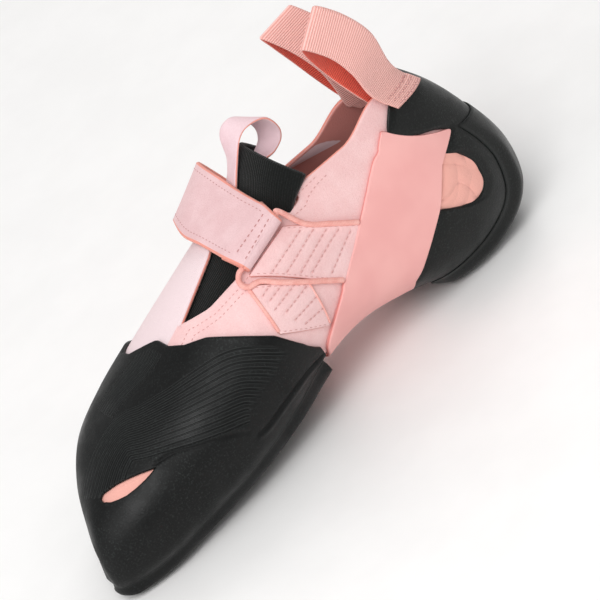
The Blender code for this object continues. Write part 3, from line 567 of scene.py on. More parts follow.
def tube(name: str, route: Array, radius: float, sides: int = 12) -> bpy.types.Mesh:
    """Carries a circle along a route, its ends drawn in to a point.

    Args:
        name: The mesh's name.
        route: The points of the route.
        radius: The circle's radius.
        sides: Points around the circle.

    Returns:
        The mesh, its cloth map running around and along.
    """
    along = unit(np.gradient(route, axis=0))
    side = unit(np.cross(along, np.array([0.13, 0.21, 0.97])))
    other = np.cross(along, side)
    turn = np.linspace(0.0, 2.0 * math.pi, sides + 1)
    width = np.full(len(route), radius)
    width[[0, -1]] = radius * 0.05
    ring = np.cos(turn)[None, :, None] * side[:, None] + np.sin(turn)[None, :, None] * other[:, None]
    grid = route[:, None] + ring * width[:, None, None]
    grid[:, -1] = grid[:, 0]
    rows = np.concatenate([np.broadcast_to(route[:1, None], grid[:1].shape), grid,
                           np.broadcast_to(route[-1:, None], grid[:1].shape)])
    length = run_length(route)
    length = np.concatenate([length[:1], length, length[-1:]])
    cloth = np.stack(np.broadcast_arrays(turn[None, :] * radius, length[:, None]), -1)
    number = np.arange(rows[..., 0].size).reshape(rows.shape[:2])
    quads = np.stack([number[:-1, :-1], number[:-1, 1:], number[1:, 1:], number[1:, :-1]], -1).reshape(-1, 4)
    same = welded(rows, 1e-7)
    spots = np.zeros((same.max() + 1, 3))
    spots[same] = rows.reshape(-1, 3)
    return quad_mesh(name, spots, same[quads], cloth.reshape(-1, 2)[quads])


@dataclass(frozen=True)
class Stitching:
    """Rows of sewn stitches: each a small bent rod of thread that dips into the cloth at both ends."""
    pitch: float = 2.3 * MM
    length: float = 1.7 * MM
    thread: float = 0.42 * MM
    sink: float = 0.10 * MM
    dip: float = 0.90
    crown: float = 0.35
    sides: int = 6
    ring_shares: Tuple[float, ...] = (-0.9, -0.5, 0.0, 0.5, 0.9)

    def rods(self, lines: Sequence[Line]) -> Tuple[Array, Array, Array]:
        """Places a stitch at every pitch along each line.

        Args:
            lines: Points with the outward directions there.

        Returns:
            Middles, directions along and directions outward.
        """
        rods = []
        for points, normals in lines:
            length = run_length(points)
            spots = np.arange(self.pitch / 2, length[-1], self.pitch)
            columns = np.concatenate([points, np.gradient(points, axis=0), normals], 1).T
            rods.append(np.stack([np.interp(spots, length, values) for values in columns], -1))
        middles, runs, lifts = np.split(np.concatenate(rods), 3, axis=1)
        return middles, unit(runs), unit(lifts)

    def mesh(self, name: str, lines: Sequence[Line]) -> bpy.types.Mesh:
        """Makes all stitches of the lines as one mesh."""
        middles, runs, lifts = self.rods(lines)
        rings, sides = len(self.ring_shares), self.sides
        share = np.concatenate([[-1.0], np.repeat(self.ring_shares, sides), [1.0]])
        turn = np.concatenate([[0.0], np.tile(np.arange(sides), rings), [0.0]]) * 2.0 * math.pi / sides
        width = self.thread / 2 * np.sqrt(1.0 - share ** 4)
        along, across = share * self.length / 2, width * np.cos(turn)
        rise = width * np.sin(turn) - self.sink + self.thread * (self.crown - self.dip * share ** 4)
        steps = np.stack([along, across, rise], -1)
        axes = np.stack([runs, np.cross(lifts, runs), lifts], 1)
        points = middles[:, None] + steps @ axes
        number = np.arange(1, 1 + rings * sides).reshape(rings, sides)
        number = np.concatenate([0 * number[:1], number, 0 * number[:1] + len(share) - 1])
        following = np.roll(number, -1, 1)
        quads = np.stack([number[:-1], following[:-1], following[1:], number[1:]], -1).reshape(-1, 4)
        corner = quads + (np.arange(len(middles)) * len(share))[:, None, None]
        cloth = np.stack([turn * self.thread / 2, along], -1)[quads]
        cloth = np.broadcast_to(cloth, (len(middles),) + cloth.shape)
        return quad_mesh(name, points.reshape(-1, 3), corner.reshape(-1, 4), cloth.reshape(-1, 4, 2))


def linear(hex_colour: str) -> Tuple[float, float, float, float]:
    """Turns an sRGB hex value to a linear colour."""
    channels = [int(hex_colour[spot:spot + 2], 16) / 255.0 for spot in (1, 3, 5)]
    return (*[value / 12.92 if value <= 0.04045 else ((value + 0.055) / 1.055) ** 2.4
              for value in channels], 1.0)


class Nodes:
    """One material's node tree, with the steps that the finishes share."""

    def __init__(self, name: str, roughness: float, specular: float, sheen: float = 0.0) -> None:
        """Makes the material with its shader.

        Args:
            name: The material's name.
            roughness: The shader's roughness.
            specular: The shader's specular level.
            sheen: The shader's sheen weight.
        """
        self.material = bpy.data.materials.new(name)
        self.material.use_nodes = True
        self.shader = self.material.node_tree.nodes["Principled BSDF"]
        self.shader.inputs["Roughness"].default_value = roughness
        self.shader.inputs["Specular IOR Level"].default_value = specular
        self.shader.inputs["Sheen Weight"].default_value = sheen

    def add(self, kind: str, inputs: Optional[dict] = None, **settings) -> bpy.types.Node:
        """Adds a node with its settings and links.

        Args:
            kind: The node's type name.
            inputs: For each input's name or number, a socket to link or a value to set.
            **settings: The node's own settings.

        Returns:
            The node.
        """
        tree = self.material.node_tree
        made = tree.nodes.new(kind)
        for name, value in settings.items():
            setattr(made, name, value)
        for name, value in (inputs or {}).items():
            if isinstance(value, bpy.types.NodeSocket):
                tree.links.new(value, made.inputs[name])
            else:
                made.inputs[name].default_value = value
        return made

    def noise(self, size_mm: float, detail: float = 2.0) -> Socket:
        """Cloudy noise whose lumps are so many millimetres across."""
        place_of = self.add("ShaderNodeTexCoord").outputs["Object"]
        return self.add("ShaderNodeTexNoise", {"Vector": place_of, "Scale": 1000.0 / size_mm,
                                               "Detail": detail, "Roughness": 0.6}).outputs["Fac"]

    def mark(self, name: str) -> Socket:
        """Reads one of the piece's marks."""
        return self.add("ShaderNodeAttribute", attribute_name=name).outputs["Fac"]

    def cloth(self) -> Tuple[Socket, Socket]:
        """Metres across and along the piece's cloth."""
        lengths = self.add("ShaderNodeUVMap", uv_map="cloth").outputs["UV"]
        split = self.add("ShaderNodeSeparateXYZ", {"Vector": lengths})
        return split.outputs["X"], split.outputs["Y"]

    def ramp(self, value: Socket, low: float, high: float, to_low: float = 0.0,
             to_high: float = 1.0) -> Socket:
        """Eases a value from one range to another."""
        ends = {"Value": value, "From Min": low, "From Max": high, "To Min": to_low, "To Max": to_high}
        return self.add("ShaderNodeMapRange", ends, interpolation_type="SMOOTHSTEP").outputs["Result"]

    def mix(self, share: Socket, low: Union[str, Socket], high: Union[str, Socket]) -> Socket:
        """Mixes two colours, given as hex values or sockets."""
        low, high = (linear(colour) if isinstance(colour, str) else colour for colour in (low, high))
        return self.add("ShaderNodeMix", {0: share, 6: low, 7: high}, data_type="RGBA").outputs[2]

    def math(self, operation: str, first: Union[float, Socket], second: Union[float, Socket]) -> Socket:
        """One step of arithmetic."""
        return self.add("ShaderNodeMath", {0: first, 1: second}, operation=operation).outputs[0]

    def wave(self, value: Socket, pitch_mm: float) -> Socket:
        """Goes from 0 to 1 and back over each so many millimetres of a length."""
        folded = self.math("PINGPONG", value, pitch_mm * MM / 2)
        return self.math("MULTIPLY", folded, 2.0 / (pitch_mm * MM))

    def bump(self, height: Socket, depth_mm: float, under: Optional[Socket] = None) -> Socket:
        """Relief of so many millimetres, over an earlier relief where one is given."""
        inputs = {"Height": height, "Distance": depth_mm * MM, "Strength": 1.0}
        if under is not None:
            inputs["Normal"] = under
        return self.add("ShaderNodeBump", inputs).outputs["Normal"]

    def finish(self, colour: Socket, normal: Socket,
               roughness: Optional[Socket] = None) -> bpy.types.Material:
        """Links colour, relief and roughness to the shader, and returns the material."""
        for name, socket in (("Base Color", colour), ("Normal", normal), ("Roughness", roughness)):
            if socket is not None:
                self.material.node_tree.links.new(socket, self.shader.inputs[name])
        return self.material


@dataclass(frozen=True)
class Finish:
    """What all finishes share: the name of the real material."""
    name: str


@dataclass(frozen=True)
class SuedeMicrofibre(Finish):
    """Split microfibre with a brushed nap: dull, softly mottled, a little sheen at grazing angles.

    The marks inside, edge, textile, far and fuzz turn parts of it to the lining, the raw coral edge, the
    thin wrinkled cloth, the paler outer side and the brushed fastener patch. The hollow mark darkens the
    folds and the quilted channels with painted shade.
    """
    low: str = "#ecbfbe"
    high: str = "#f5d0cf"
    edge: str = "#ee9b8b"
    lining: str = "#cf8b83"
    cloth: str = "#f3b3a6"
    far: str = "#eed9dc"
    fuzz: str = "#e9d3d8"
    # Painted shade for the hollows of the wrinkled cloth and the quilted channels.
    fold: str = "#cf8f8b"
    sheen: str = "#ffe9e6"
    nap_mm: float = 0.55
    cloud_mm: float = 13.0

    def build(self) -> bpy.types.Material:
        """Makes the material."""
        nodes = Nodes(self.name, 0.86, 0.25, 0.35)
        nodes.shader.inputs["Sheen Roughness"].default_value = 0.45
        nodes.shader.inputs["Sheen Tint"].default_value = linear(self.sheen)
        nap, cloud = nodes.noise(self.nap_mm, 3.0), nodes.noise(self.cloud_mm)
        blend = nodes.math("ADD", nodes.ramp(nap, 0.3, 0.7, 0.0, 0.5),
                           nodes.ramp(cloud, 0.35, 0.65, 0.0, 0.5))
        colour = nodes.mix(blend, self.low, self.high)
        inside = nodes.mark("inside")
        patch = nodes.math("MULTIPLY", nodes.mark("fuzz"), nodes.ramp(inside, 0.7, 0.95))
        for share, low, high, shade in ((nodes.mark("far"), 0.2, 0.8, self.far),
                                        (nodes.mark("textile"), 0.3, 0.7, self.cloth),
                                        (inside, 0.7, 0.95, self.lining),
                                        (patch, 0.35, 0.65, self.fuzz),
                                        (nodes.mark("edge"), 0.35, 0.6, self.edge)):
            colour = nodes.mix(nodes.ramp(share, low, high), colour, shade)
        # Painted shade in the hollows: the creases of the cloth and the quilted channels.
        colour = nodes.mix(nodes.ramp(nodes.mark("sunk_shade"), 0.2, 1.0, 0.0, 0.45), colour, self.fold)
        return nodes.finish(colour, nodes.bump(nap, 0.20))


@dataclass(frozen=True)
class ClimbingRubber(Finish):
    """Calendered black rubber, ground and buffed: satin, pale dust in its pores, painted highlight on edges.

    The mark rib counts engraved grooves, which show where the mark ribbed is 1: painted shade darkens
    each groove and a painted highlight lightens the lip beside it. The mark crease darkens a fold with
    painted shade, and the mark edge lightens the edges with a painted highlight.
    """
    low: str = "#080909"
    high: str = "#2c302f"
    # Painted highlight along the rubber's edges and rims.
    edge: str = "#2c2f2e"
    # Painted highlight on the lip beside each groove.
    lip_highlight: str = "#383c3b"
    # Painted shade inside each engraved groove.
    groove: str = "#050606"
    # Painted shade inside the creases.
    crease: str = "#060707"
    pore_mm: float = 0.75
    cloud_mm: float = 17.0
    groove_share: float = 0.20
    groove_mm: float = 0.9
    roughest: float = 0.60

    def build(self) -> bpy.types.Material:
        """Makes the material."""
        nodes = Nodes(self.name, 0.52, 0.24)
        pores, cloud = nodes.noise(self.pore_mm, 3.0), nodes.noise(self.cloud_mm, 3.0)
        dust = nodes.math("MULTIPLY", nodes.ramp(pores, 0.5, 0.72), nodes.ramp(cloud, 0.3, 0.75, 0.25, 0.9))
        colour = nodes.mix(dust, self.low, self.high)
        # A painted highlight lightens the edges.
        colour = nodes.mix(nodes.ramp(nodes.mark("edge"), 0.2, 0.9, 0.0, 0.8), colour, self.edge)
        wave, shown = nodes.math("PINGPONG", nodes.mark("rib"), 0.5), nodes.mark("ribbed")
        share = self.groove_share
        groove, lip_highlight = (nodes.math("MULTIPLY", nodes.ramp(wave, share * far, share * near), shown)
                       for far, near in ((1.0, 0.35), (1.6, 1.05)))
        # A painted highlight on each groove's lip, then painted shade inside the groove.
        colour = nodes.mix(nodes.math("MULTIPLY", lip_highlight, 0.6), colour, self.lip_highlight)
        colour = nodes.mix(groove, colour, self.groove)
        # Painted shade along the creases.
        colour = nodes.mix(nodes.mark("crease"), colour, self.crease)
        relief = nodes.bump(nodes.math("SUBTRACT", 1.0, groove), self.groove_mm, nodes.bump(pores, 0.11))
        return nodes.finish(colour, relief, nodes.ramp(cloud, 0.3, 0.7, self.roughest - 0.22, self.roughest))


@dataclass(frozen=True)
class MouldedRubber(Finish):
    """Smooth moulded coloured rubber: soft satin with faint clouds of bloom."""
    low: str = "#efaca8"
    high: str = "#f5b6b1"
    edge: str = "#dd8c86"
    cloud_mm: float = 22.0
    grain_mm: float = 0.5

    def build(self) -> bpy.types.Material:
        """Makes the material."""
        nodes = Nodes(self.name, 0.46, 0.4)
        cloud, grain = nodes.noise(self.cloud_mm), nodes.noise(self.grain_mm)
        colour = nodes.mix(nodes.ramp(cloud, 0.3, 0.7), self.low, self.high)
        colour = nodes.mix(nodes.ramp(nodes.mark("edge"), 0.3, 0.8), colour, self.edge)
        return nodes.finish(colour, nodes.bump(grain, 0.02), nodes.ramp(cloud, 0.3, 0.7, 0.42, 0.55))


@dataclass(frozen=True)
class RibKnit(Finish):
    """Black stretch knit in ribs about a millimetre wide: matte, fuzzy, near black."""
    low: str = "#0b0d0c"
    high: str = "#1d201f"
    rib_mm: float = 0.95
    loop_mm: float = 0.80
    fuzz_mm: float = 0.5

    def build(self) -> bpy.types.Material:
        """Makes the material."""
        nodes = Nodes(self.name, 0.92, 0.2, 0.15)
        across, along = nodes.cloth()
        loops = nodes.math("MULTIPLY", nodes.wave(along, self.loop_mm), 0.35)
        weave = nodes.math("ADD", nodes.wave(across, self.rib_mm), loops)
        fuzz = nodes.noise(self.fuzz_mm, 3.0)
        blend = nodes.math("MULTIPLY", nodes.ramp(weave, 0.1, 1.2), nodes.ramp(fuzz, 0.35, 0.7))
        relief = nodes.bump(fuzz, 0.12, nodes.bump(weave, 0.13))
        return nodes.finish(nodes.mix(blend, self.low, self.high), relief)


@dataclass(frozen=True)
class Grosgrain(Finish):
    """Woven grosgrain tape: fat weft ribs across it, pale outside and bright coral inside."""
    low: str = "#e6a196"
    high: str = "#fbc8c1"
    inner_low: str = "#c94636"
    inner_high: str = "#ee6a55"
    edge: str = "#f7b3a8"
    rib_mm: float = 0.95
    fuzz_mm: float = 0.6

    def build(self) -> bpy.types.Material:
        """Makes the material."""
        nodes = Nodes(self.name, 0.80, 0.25, 0.25)
        raised = nodes.ramp(nodes.wave(nodes.cloth()[1], self.rib_mm), 0.05, 0.75)
        fuzz = nodes.ramp(nodes.noise(self.fuzz_mm), 0.2, 0.8, 0.75, 1.0)
        shade = nodes.math("MULTIPLY", raised, fuzz)
        outside = nodes.mix(shade, self.low, self.high)
        inside = nodes.mix(shade, self.inner_low, self.inner_high)
        colour = nodes.mix(nodes.ramp(nodes.mark("inside"), 0.6, 0.9), outside, inside)
        colour = nodes.mix(nodes.ramp(nodes.mark("edge"), 0.4, 0.9), colour, self.edge)
        return nodes.finish(colour, nodes.bump(raised, 0.18))


@dataclass(frozen=True)
class FabricPiping(Finish):
    """Round piping in a stretched knit cover: matte, with a faint twist along it."""
    low: str = "#e9a096"
    high: str = "#f5bbb2"
    twist_mm: float = 1.1
    cloud_mm: float = 3.0

    def build(self) -> bpy.types.Material:
        """Makes the material."""
        nodes = Nodes(self.name, 0.72, 0.3)
        around, along = nodes.cloth()
        twist = nodes.wave(nodes.math("ADD", along, nodes.math("MULTIPLY", around, 0.7)), self.twist_mm)
        cloud = nodes.ramp(nodes.noise(self.cloud_mm, 3.0), 0.3, 0.7, 0.0, 0.7)
        blend = nodes.math("ADD", nodes.math("MULTIPLY", twist, 0.3), cloud)
        return nodes.finish(nodes.mix(blend, self.low, self.high), nodes.bump(twist, 0.05))


@dataclass(frozen=True)
class Plain(Finish):
    """A plain matte material with fine grain, such as felt, thread or a painted floor."""
    low: str = "#c79b96"
    high: str = "#d7b0aa"
    grain_mm: float = 1.2
    rough: float = 0.9
    depth_mm: float = 0.08

    def build(self) -> bpy.types.Material:
        """Makes the material."""
        nodes = Nodes(self.name, self.rough, 0.3)
        grain = nodes.noise(self.grain_mm, 3.0)
        colour = nodes.mix(nodes.ramp(grain, 0.3, 0.7), self.low, self.high)
        return nodes.finish(colour, nodes.bump(grain, self.depth_mm))


class Wardrobe:
    """The finishes, each made once."""

    def __init__(self) -> None:
        """Builds every material."""
        self.suede = SuedeMicrofibre("suede_microfibre").build()
        self.strap_suede = SuedeMicrofibre("strap_suede", low="#deb6b8", high="#ebc9cb",
                                           lining="#e0aca7").build()
        self.mauve_suede = SuedeMicrofibre("loop_suede", low="#e4c3c9", high="#efd4d9", lining="#e8cad0",
                                           edge="#f4a596").build()
        self.rubber = ClimbingRubber("climbing_rubber").build()
        self.heel_rubber = ClimbingRubber("heel_rubber", low="#101211", high="#2d3130",
                                          roughest=0.50).build()
        self.salmon = MouldedRubber("salmon_rubber").build()
        self.knit = RibKnit("rib_knit").build()
        self.tape = Grosgrain("grosgrain_tape").build()
        self.piping = FabricPiping("fabric_piping").build()
        self.felt = Plain("wool_felt").build()
        self.thread, self.dark_thread = (
            Plain(name, low=low, high=high, grain_mm=0.5, rough=0.6).build()
            for name, low, high in (("polyester_thread", "#cf9a97", "#e2b1ad"),
                                    ("strap_thread", "#b98482", "#cf9c99")))
        self.floor = Plain("painted_floor", low="#f4f3f2", high="#f7f6f5", grain_mm=40.0, rough=0.85,
                           depth_mm=0.0).build()


def put(name: str, mesh: bpy.types.Mesh, material: bpy.types.Material,
        nodes: Sequence[str] = ()) -> bpy.types.Object:
    """Puts a finished piece in the scene.

    Args:
        name: The piece's name.
        mesh: Its mesh, already in place.
        material: Its finish.
        nodes: The solids that it stands for.

    Returns:
        The piece.
    """
    thing = bpy.data.objects.new(name, mesh)
    bpy.context.scene.collection.objects.link(thing)
    mesh.materials.append(material)
    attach(thing, "root")
    if nodes:
        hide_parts(*nodes)
    LOG.info("%s: %d faces", name, len(mesh.polygons))
    return thing


def dress(name: str, shell: Shell, material: bpy.types.Material, slot: Slot, nodes: Sequence[str] = (),
          **rim_marks: float) -> bpy.types.Object:
    """Builds a shell and puts it in the scene, with the given marks along its rim."""
    return put(name, shell.build(name, rim_marks), material, nodes)


@dataclass
class Upper:
    """The hollow upper with its lining, raw edges, heel and toe cloth and seams."""
    rows: int = 190
    columns: int = 176
    toe_cloth: Table = ((3.3, 4.95), (122.0, 165.0))
    far_turn: float = -100.0
    fuzz_stations: Tuple[float, float] = (15.3, 16.9)
    fuzz_turn: float = -88.0
    wrinkle: float = 0.95 * MM
    oval_start: Tuple[float, float] = (12.55, 50.0)
    oval_reach: Tuple[float, float] = (29.0, 30.0)
    oval_steps: int = 120
    oval_depth: float = 0.6 * MM
    throat_run: Tuple[float, float] = (6.45, 8.15)
    throat_insets: Tuple[float, float] = (5.5, 9.5)
    collar_rows: Tuple[Table, Table] = (
        ((12.05, 141.0), (14.20, 134.0), (15.55, 126.5), (16.25, 115.0), (16.55, 106.0)),
        ((12.05, 138.3), (13.80, 131.0), (15.10, 122.5), (15.85, 112.0), (16.15, 104.0)))
    sewing: Stitching = Stitching(2.0 * MM, 1.45 * MM, 0.36 * MM)

    def build(self, wardrobe: Wardrobe) -> None:
        """Makes the shell, its seams and the cloth in its ovals."""
        stations = np.concatenate([[0.0], np.linspace(0.25, LAST_ROW, self.rows)])
        places, turns = strip(stations, between(THROAT_OUTER, stations), between(THROAT_INNER, stations),
                              self.columns)
        toe = window(places, *self.toe_cloth[0], 0.1) * window(turns, *self.toe_cloth[1], 4.0)
        far = smooth_step((self.far_turn - turns) / 35.0)
        far *= smooth_step((places - 4.0) / 1.5) * smooth_step((13.5 - places) / 4.0)
        fuzz = window(places, *self.fuzz_stations, 0.25) * smooth_step((self.fuzz_turn - turns) / 3.0)
        shell = Shell.over(places, turns, -SIZES.upper_wall, 0.0, roundness=0.6,
                           marks={"textile": toe, "far": far, "fuzz": fuzz})
        dress("upper_shell", shell, wardrobe.suede, Slot.PALE_MICROFIBRE, ["upper"], edge=1.0, fuzz=0.0)
        self.seams(wardrobe)
        self.heel_cloth(wardrobe, "inner_heel_cloth", 1)
        self.heel_cloth(wardrobe, "outer_heel_cloth", -1)

    def heel_cloth(self, wardrobe: Wardrobe, name: str, side: int) -> None:
        """Makes the wrinkled stretch cloth in one oval: slanting puffs with sharp creases between them.

        The creases fan out from the sling's edge, and a few slower ones cross them.

        Args:
            wardrobe: The finishes.
            name: The piece's name.
            side: 1 for the inner side of the foot, -1 for the outer side.
        """
        length, width = self.oval_reach
        along, around = np.meshgrid(np.linspace(0.0, length, self.oval_steps),
                                    np.linspace(0.0, width, self.oval_steps)[::side], indexing="ij")
        stations, turns = self.oval_start[0] + along / 12.0, (self.oval_start[1] + around / 0.72) * side
        run, rise = along - 10.0, 31.0 - around
        reach = np.hypot(run, rise)
        first = np.abs(np.sin(5.2 * np.arctan2(run, rise) + 1.2 * np.sin(0.33 * reach)))
        second = np.abs(np.sin(0.40 * along + 0.24 * around + 1.8 * np.sin(0.21 * reach)))
        puff = 0.68 * first ** 0.6 + 0.32 * second
        relief = BED + self.wrinkle * puff * window(along, 0.0, length, 2.0)
        # The hollow mark paints shade into the creases between the puffs.
        marks = {"textile": np.ones(puff.shape), "sunk_shade": smooth_step((0.50 - puff) / 0.45) * 0.9}
        shell = Shell.over(stations, turns, -self.oval_depth, relief, marks=marks, roundness=0.3)
        dress(name, shell, wardrobe.suede, Slot.PALE_MICROFIBRE)

    def seams(self, wardrobe: Wardrobe) -> None:
        """Sews the rows along the throat and the collar."""
        stations = np.linspace(*self.throat_run, 30)
        edge = between(THROAT_INNER, np.maximum(stations, THROAT_START + 0.02))
        widening = np.interp(stations, (6.4, 7.2), (1.5, 1.0))
        lines = [LAST.thread(np.stack([stations, edge - inset * widening], -1), 0.0)
                 for inset in self.throat_insets]
        lines += [LAST.thread(even_line(LAST.straight(row), 60, 6), 0.0) for row in self.collar_rows]
        put("throat_stitches", self.sewing.mesh("throat_stitches", lines), wardrobe.thread)


@dataclass
class ToeRubber:
    """The black patch over the toes: rand, crease lines, leaf-shaped slit and engraved grooves."""
    rows: int = 210
    columns: int = 230
    slit_share: float = 0.32
    slit_columns: int = 12
    slit_ease: float = 0.22
    crease_depth: float = 0.8 * MM
    crease_width: float = 0.55 * MM
    ridge_height: float = 0.45 * MM
    ridge_place: float = 1.5 * MM
    ridge_width: float = 1.1 * MM
    groove_pitch: float = 2.75 * MM
    groove_gather: float = 0.8 * MM
    groove_count: float = 11.4
    fan_pitch: float = 1.75 * MM
    fan_count: float = 8.4
    slit: Table = ((3.54, 153.0, 153.0), (3.62, 158.5, 146.0), (3.80, 158.5, 140.5), (4.00, 154.0, 136.0),
                   (4.25, 148.0, 133.0), (4.50, 141.5, 131.2), (4.70, 135.5, 130.6), (4.86, 130.5, 130.5))
    creases: Tuple[Table, Table] = (
        ((4.80, 133.5), (5.22, 126.8), (5.55, 117.6), (5.87, 109.3), (6.11, 102.0), (6.28, 93.7)),
        ((8.00, 66.0), (7.54, 77.1), (7.15, 83.0), (6.79, 85.5), (6.57, 86.5), (6.30, 89.5)))
    groove: Table = ((7.30, 84.0), (7.06, 96.4), (6.84, 109.0), (6.60, 119.5), (6.11, 131.0), (5.63, 141.4),
                     (5.12, 153.9), (4.83, 163.0), (4.60, 167.0), (4.20, 167.5), (3.76, 165.5), (3.40, 164.0))
    fan: Table = ((6.30, 181.0), (5.92, 180.0), (5.63, 181.5), (5.34, 184.4), (5.05, 187.5), (4.70, 189.0))

    def build(self, wardrobe: Wardrobe) -> None:
        """Makes the patch with its slit, creases and grooves."""
        stations, turns, keep = self.grid()
        base, normal = LAST.thread(np.stack([stations, turns], -1), 0.0)
        crease, ridge = np.zeros(base.shape[:2]), np.zeros(base.shape[:2])
        for table in self.creases:
            reach, along = signed_from(base, normal, LAST.line(table, 60))
            ends = window(along, 0.0, 1.0, 0.06)
            crease = np.maximum(crease, ends * np.exp(-(reach / self.crease_width) ** 2))
            ridge = np.maximum(ridge, ends * np.exp(-((reach - self.ridge_place) / self.ridge_width) ** 2))
        rib, ribbed = self.grooves(base, normal)
        top = smooth_step((between(TOE_EDGE, turns) - stations - 0.14) / 0.06)
        thickness = SIZES.toe_rubber - self.crease_depth * crease + self.ridge_height * ridge
        # The crease mark paints shade along the creases.
        marks = {"rib": rib, "ribbed": ribbed * top, "crease": crease * 0.8}
        shell = Shell.over(stations, turns, BED, BED + thickness, marks=marks, keep=keep, roundness=0.5)
        # The rim's edge mark lightens it with a painted highlight.
        dress("toe_rubber", shell, wardrobe.rubber, Slot.BLACK_RUBBER, ["toe_cap"], edge=0.6)

    def grooves(self, base: Array, normal: Array) -> Tuple[Array, Array]:
        """Counts the engraved grooves over the patch.

        Args:
            base: Points of the last under the patch.
            normal: Outward directions there.

        Returns:
            The count, whole along the middle of each groove, and how much of it shows.
        """
        guide = LAST.line(self.groove, 130)
        length = run_length(guide)[-1]
        reach, along = signed_from(base, normal, guide)
        run = along * length
        count = reach / (self.groove_pitch - self.groove_gather * smooth_step(run / (0.6 * length))) + 5.0
        start = (2.5 + 1.9 * np.clip(count, 0.0, 12.0)) * MM
        shown = smooth_step((run - start) / (5.0 * MM)) * smooth_step((0.985 - along) / 0.02)
        shown *= window(count, -0.5, self.groove_count, 0.3)
        reach, along = signed_from(base, normal, LAST.line(self.fan, 60))
        fan_count = reach / self.fan_pitch + 4.0
        fan_shown = window(fan_count, -0.4, self.fan_count, 0.3) * smooth_step((0.97 - along) / 0.03)
        use_fan = (fan_shown > 0.5) & (count < -0.5)
        return np.where(use_fan, fan_count, count), np.where(use_fan, fan_shown, shown)

    def grid(self) -> Tuple[Array, Array, Array]:
        """Lays the grid so that two of its columns follow the slit's sides and meet at its tips.

        Returns:
            Stations, turns and which cells are kept.
        """
        rows = np.array(self.slit)
        share_rows = rows[:, 0] / between(TOE_EDGE, (rows[:, 1] + rows[:, 2]) / 2 - 360.0)
        first, last = share_rows[0], share_rows[-1]
        share = np.sort(np.concatenate([[0.0, first, last], np.linspace(0.02, 1.0, self.rows)]))
        left = int(self.columns * self.slit_share)
        right = left + self.slit_columns
        low, high, number = SOLE_TURN, 360.0 - SOLE_TURN, np.arange(self.columns)
        turn_of = np.linspace(low, high, self.columns)
        rails = []
        for side, column in ((2, left), (1, right)):
            plain = turn_of[column]
            table = [(0.0, plain), (first - self.slit_ease, plain), *zip(share_rows, rows[:, side]),
                     (last + self.slit_ease, plain), (1.0, plain)]
            rails.append(between(table, share)[:, None])
        turns = low - 360.0
        for start, end, column, reach in ((low, rails[0], 0, left), (rails[0], rails[1], left, right),
                                          (rails[1], high, right, self.columns - 1)):
            turns = turns + (end - start) * np.clip((number - column) / (reach - column), 0.0, 1.0)
        stations = share[:, None] * between(TOE_EDGE, turns)
        inside = (share[:-1] >= first - 1e-9) & (share[1:] <= last + 1e-9)
        hole = inside[:, None] & (number[:-1] >= left) & (number[:-1] < right)
        return stations, turns, ~hole


@dataclass
class Soles:
    """The front sole and the heel's sole, worn flat where they stand."""
    rows: int = 150
    columns: int = 110
    front_run: Tuple[float, float] = (0.30, 7.9)
    front_half: float = SOLE_TURN - 1.4
    front_taper: float = 2.6
    front_edge: float = 1.15 * MM
    heel_run: Tuple[float, float] = (10.55, 15.05)
    heel_half: Table = ((10.55, 34.0), (10.9, 41.0), (11.6, 44.0), (12.4, 43.0), (13.2, 40.0), (14.0, 40.0),
                        (14.6, 43.0), (15.05, 46.0))
    heel_edge: float = 0.35 * MM
    heel_end: float = 0.4 * MM

    def build(self, wardrobe: Wardrobe) -> None:
        """Makes both soles."""
        stations = np.linspace(*self.front_run, self.rows)
        half = np.full(len(stations), self.front_half)
        places, turns = strip(stations, -half, half, self.columns)
        front = smooth_step((places - self.front_run[0]) / self.front_taper)
        side = smooth_step((self.front_half - np.abs(turns)) / (15.0 + 30.0 * (1.0 - front)))
        thickness = self.front_edge + (SIZES.sole_rubber - self.front_edge) * side * front
        self.sole("front_sole", places, turns, 1.6 * SIZES.clearance, thickness, wardrobe.rubber, "outsole")

        seat = SIZES.clearance + SIZES.heel_rubber + 0.05 * MM
        full = SIZES.sole_outer - seat
        rise = ((10.55, 1.2 * MM), (10.9, full), (13.3, full), (15.05, self.heel_end))
        stations = np.linspace(*self.heel_run, self.rows // 2)
        half = between(self.heel_half, stations)
        places, turns = strip(stations, -half, half, self.columns // 2 + 1)
        taper = smooth_step((half[:, None] - np.abs(turns)) / 13.0)
        thickness = taper * between(rise, places) + self.heel_edge
        self.sole("heel_sole", places, turns, seat, thickness, wardrobe.heel_rubber, "heel_outsole")

    def sole(self, name: str, places: Array, turns: Array, lift: float, thickness: Array,
             material: bpy.types.Material, node: str) -> None:
        """Makes one sole, its underside ending at the floor.

        Args:
            name: The piece's name.
            places: Its grid of stations.
            turns: Its grid of turns.
            lift: Its seat's distance from the last.
            thickness: Its thickness over the grid.
            material: Its finish.
            node: The solid that it stands for.
        """
        reach = np.abs(turns).max(1, keepdims=True) - np.abs(turns)
        # The edge mark, along the sides and on the rim, lightens the sole with a painted highlight.
        marks = {"edge": smooth_step((7.0 - reach) / 6.0) * 0.5}
        shell = Shell.over(places, turns, lift, lift + thickness, marks=marks, roundness=0.25)
        shell.outer[..., 2] = np.maximum(shell.outer[..., 2], 0.0)
        dress(name, shell, material, Slot.BLACK_RUBBER, [node], edge=0.7)


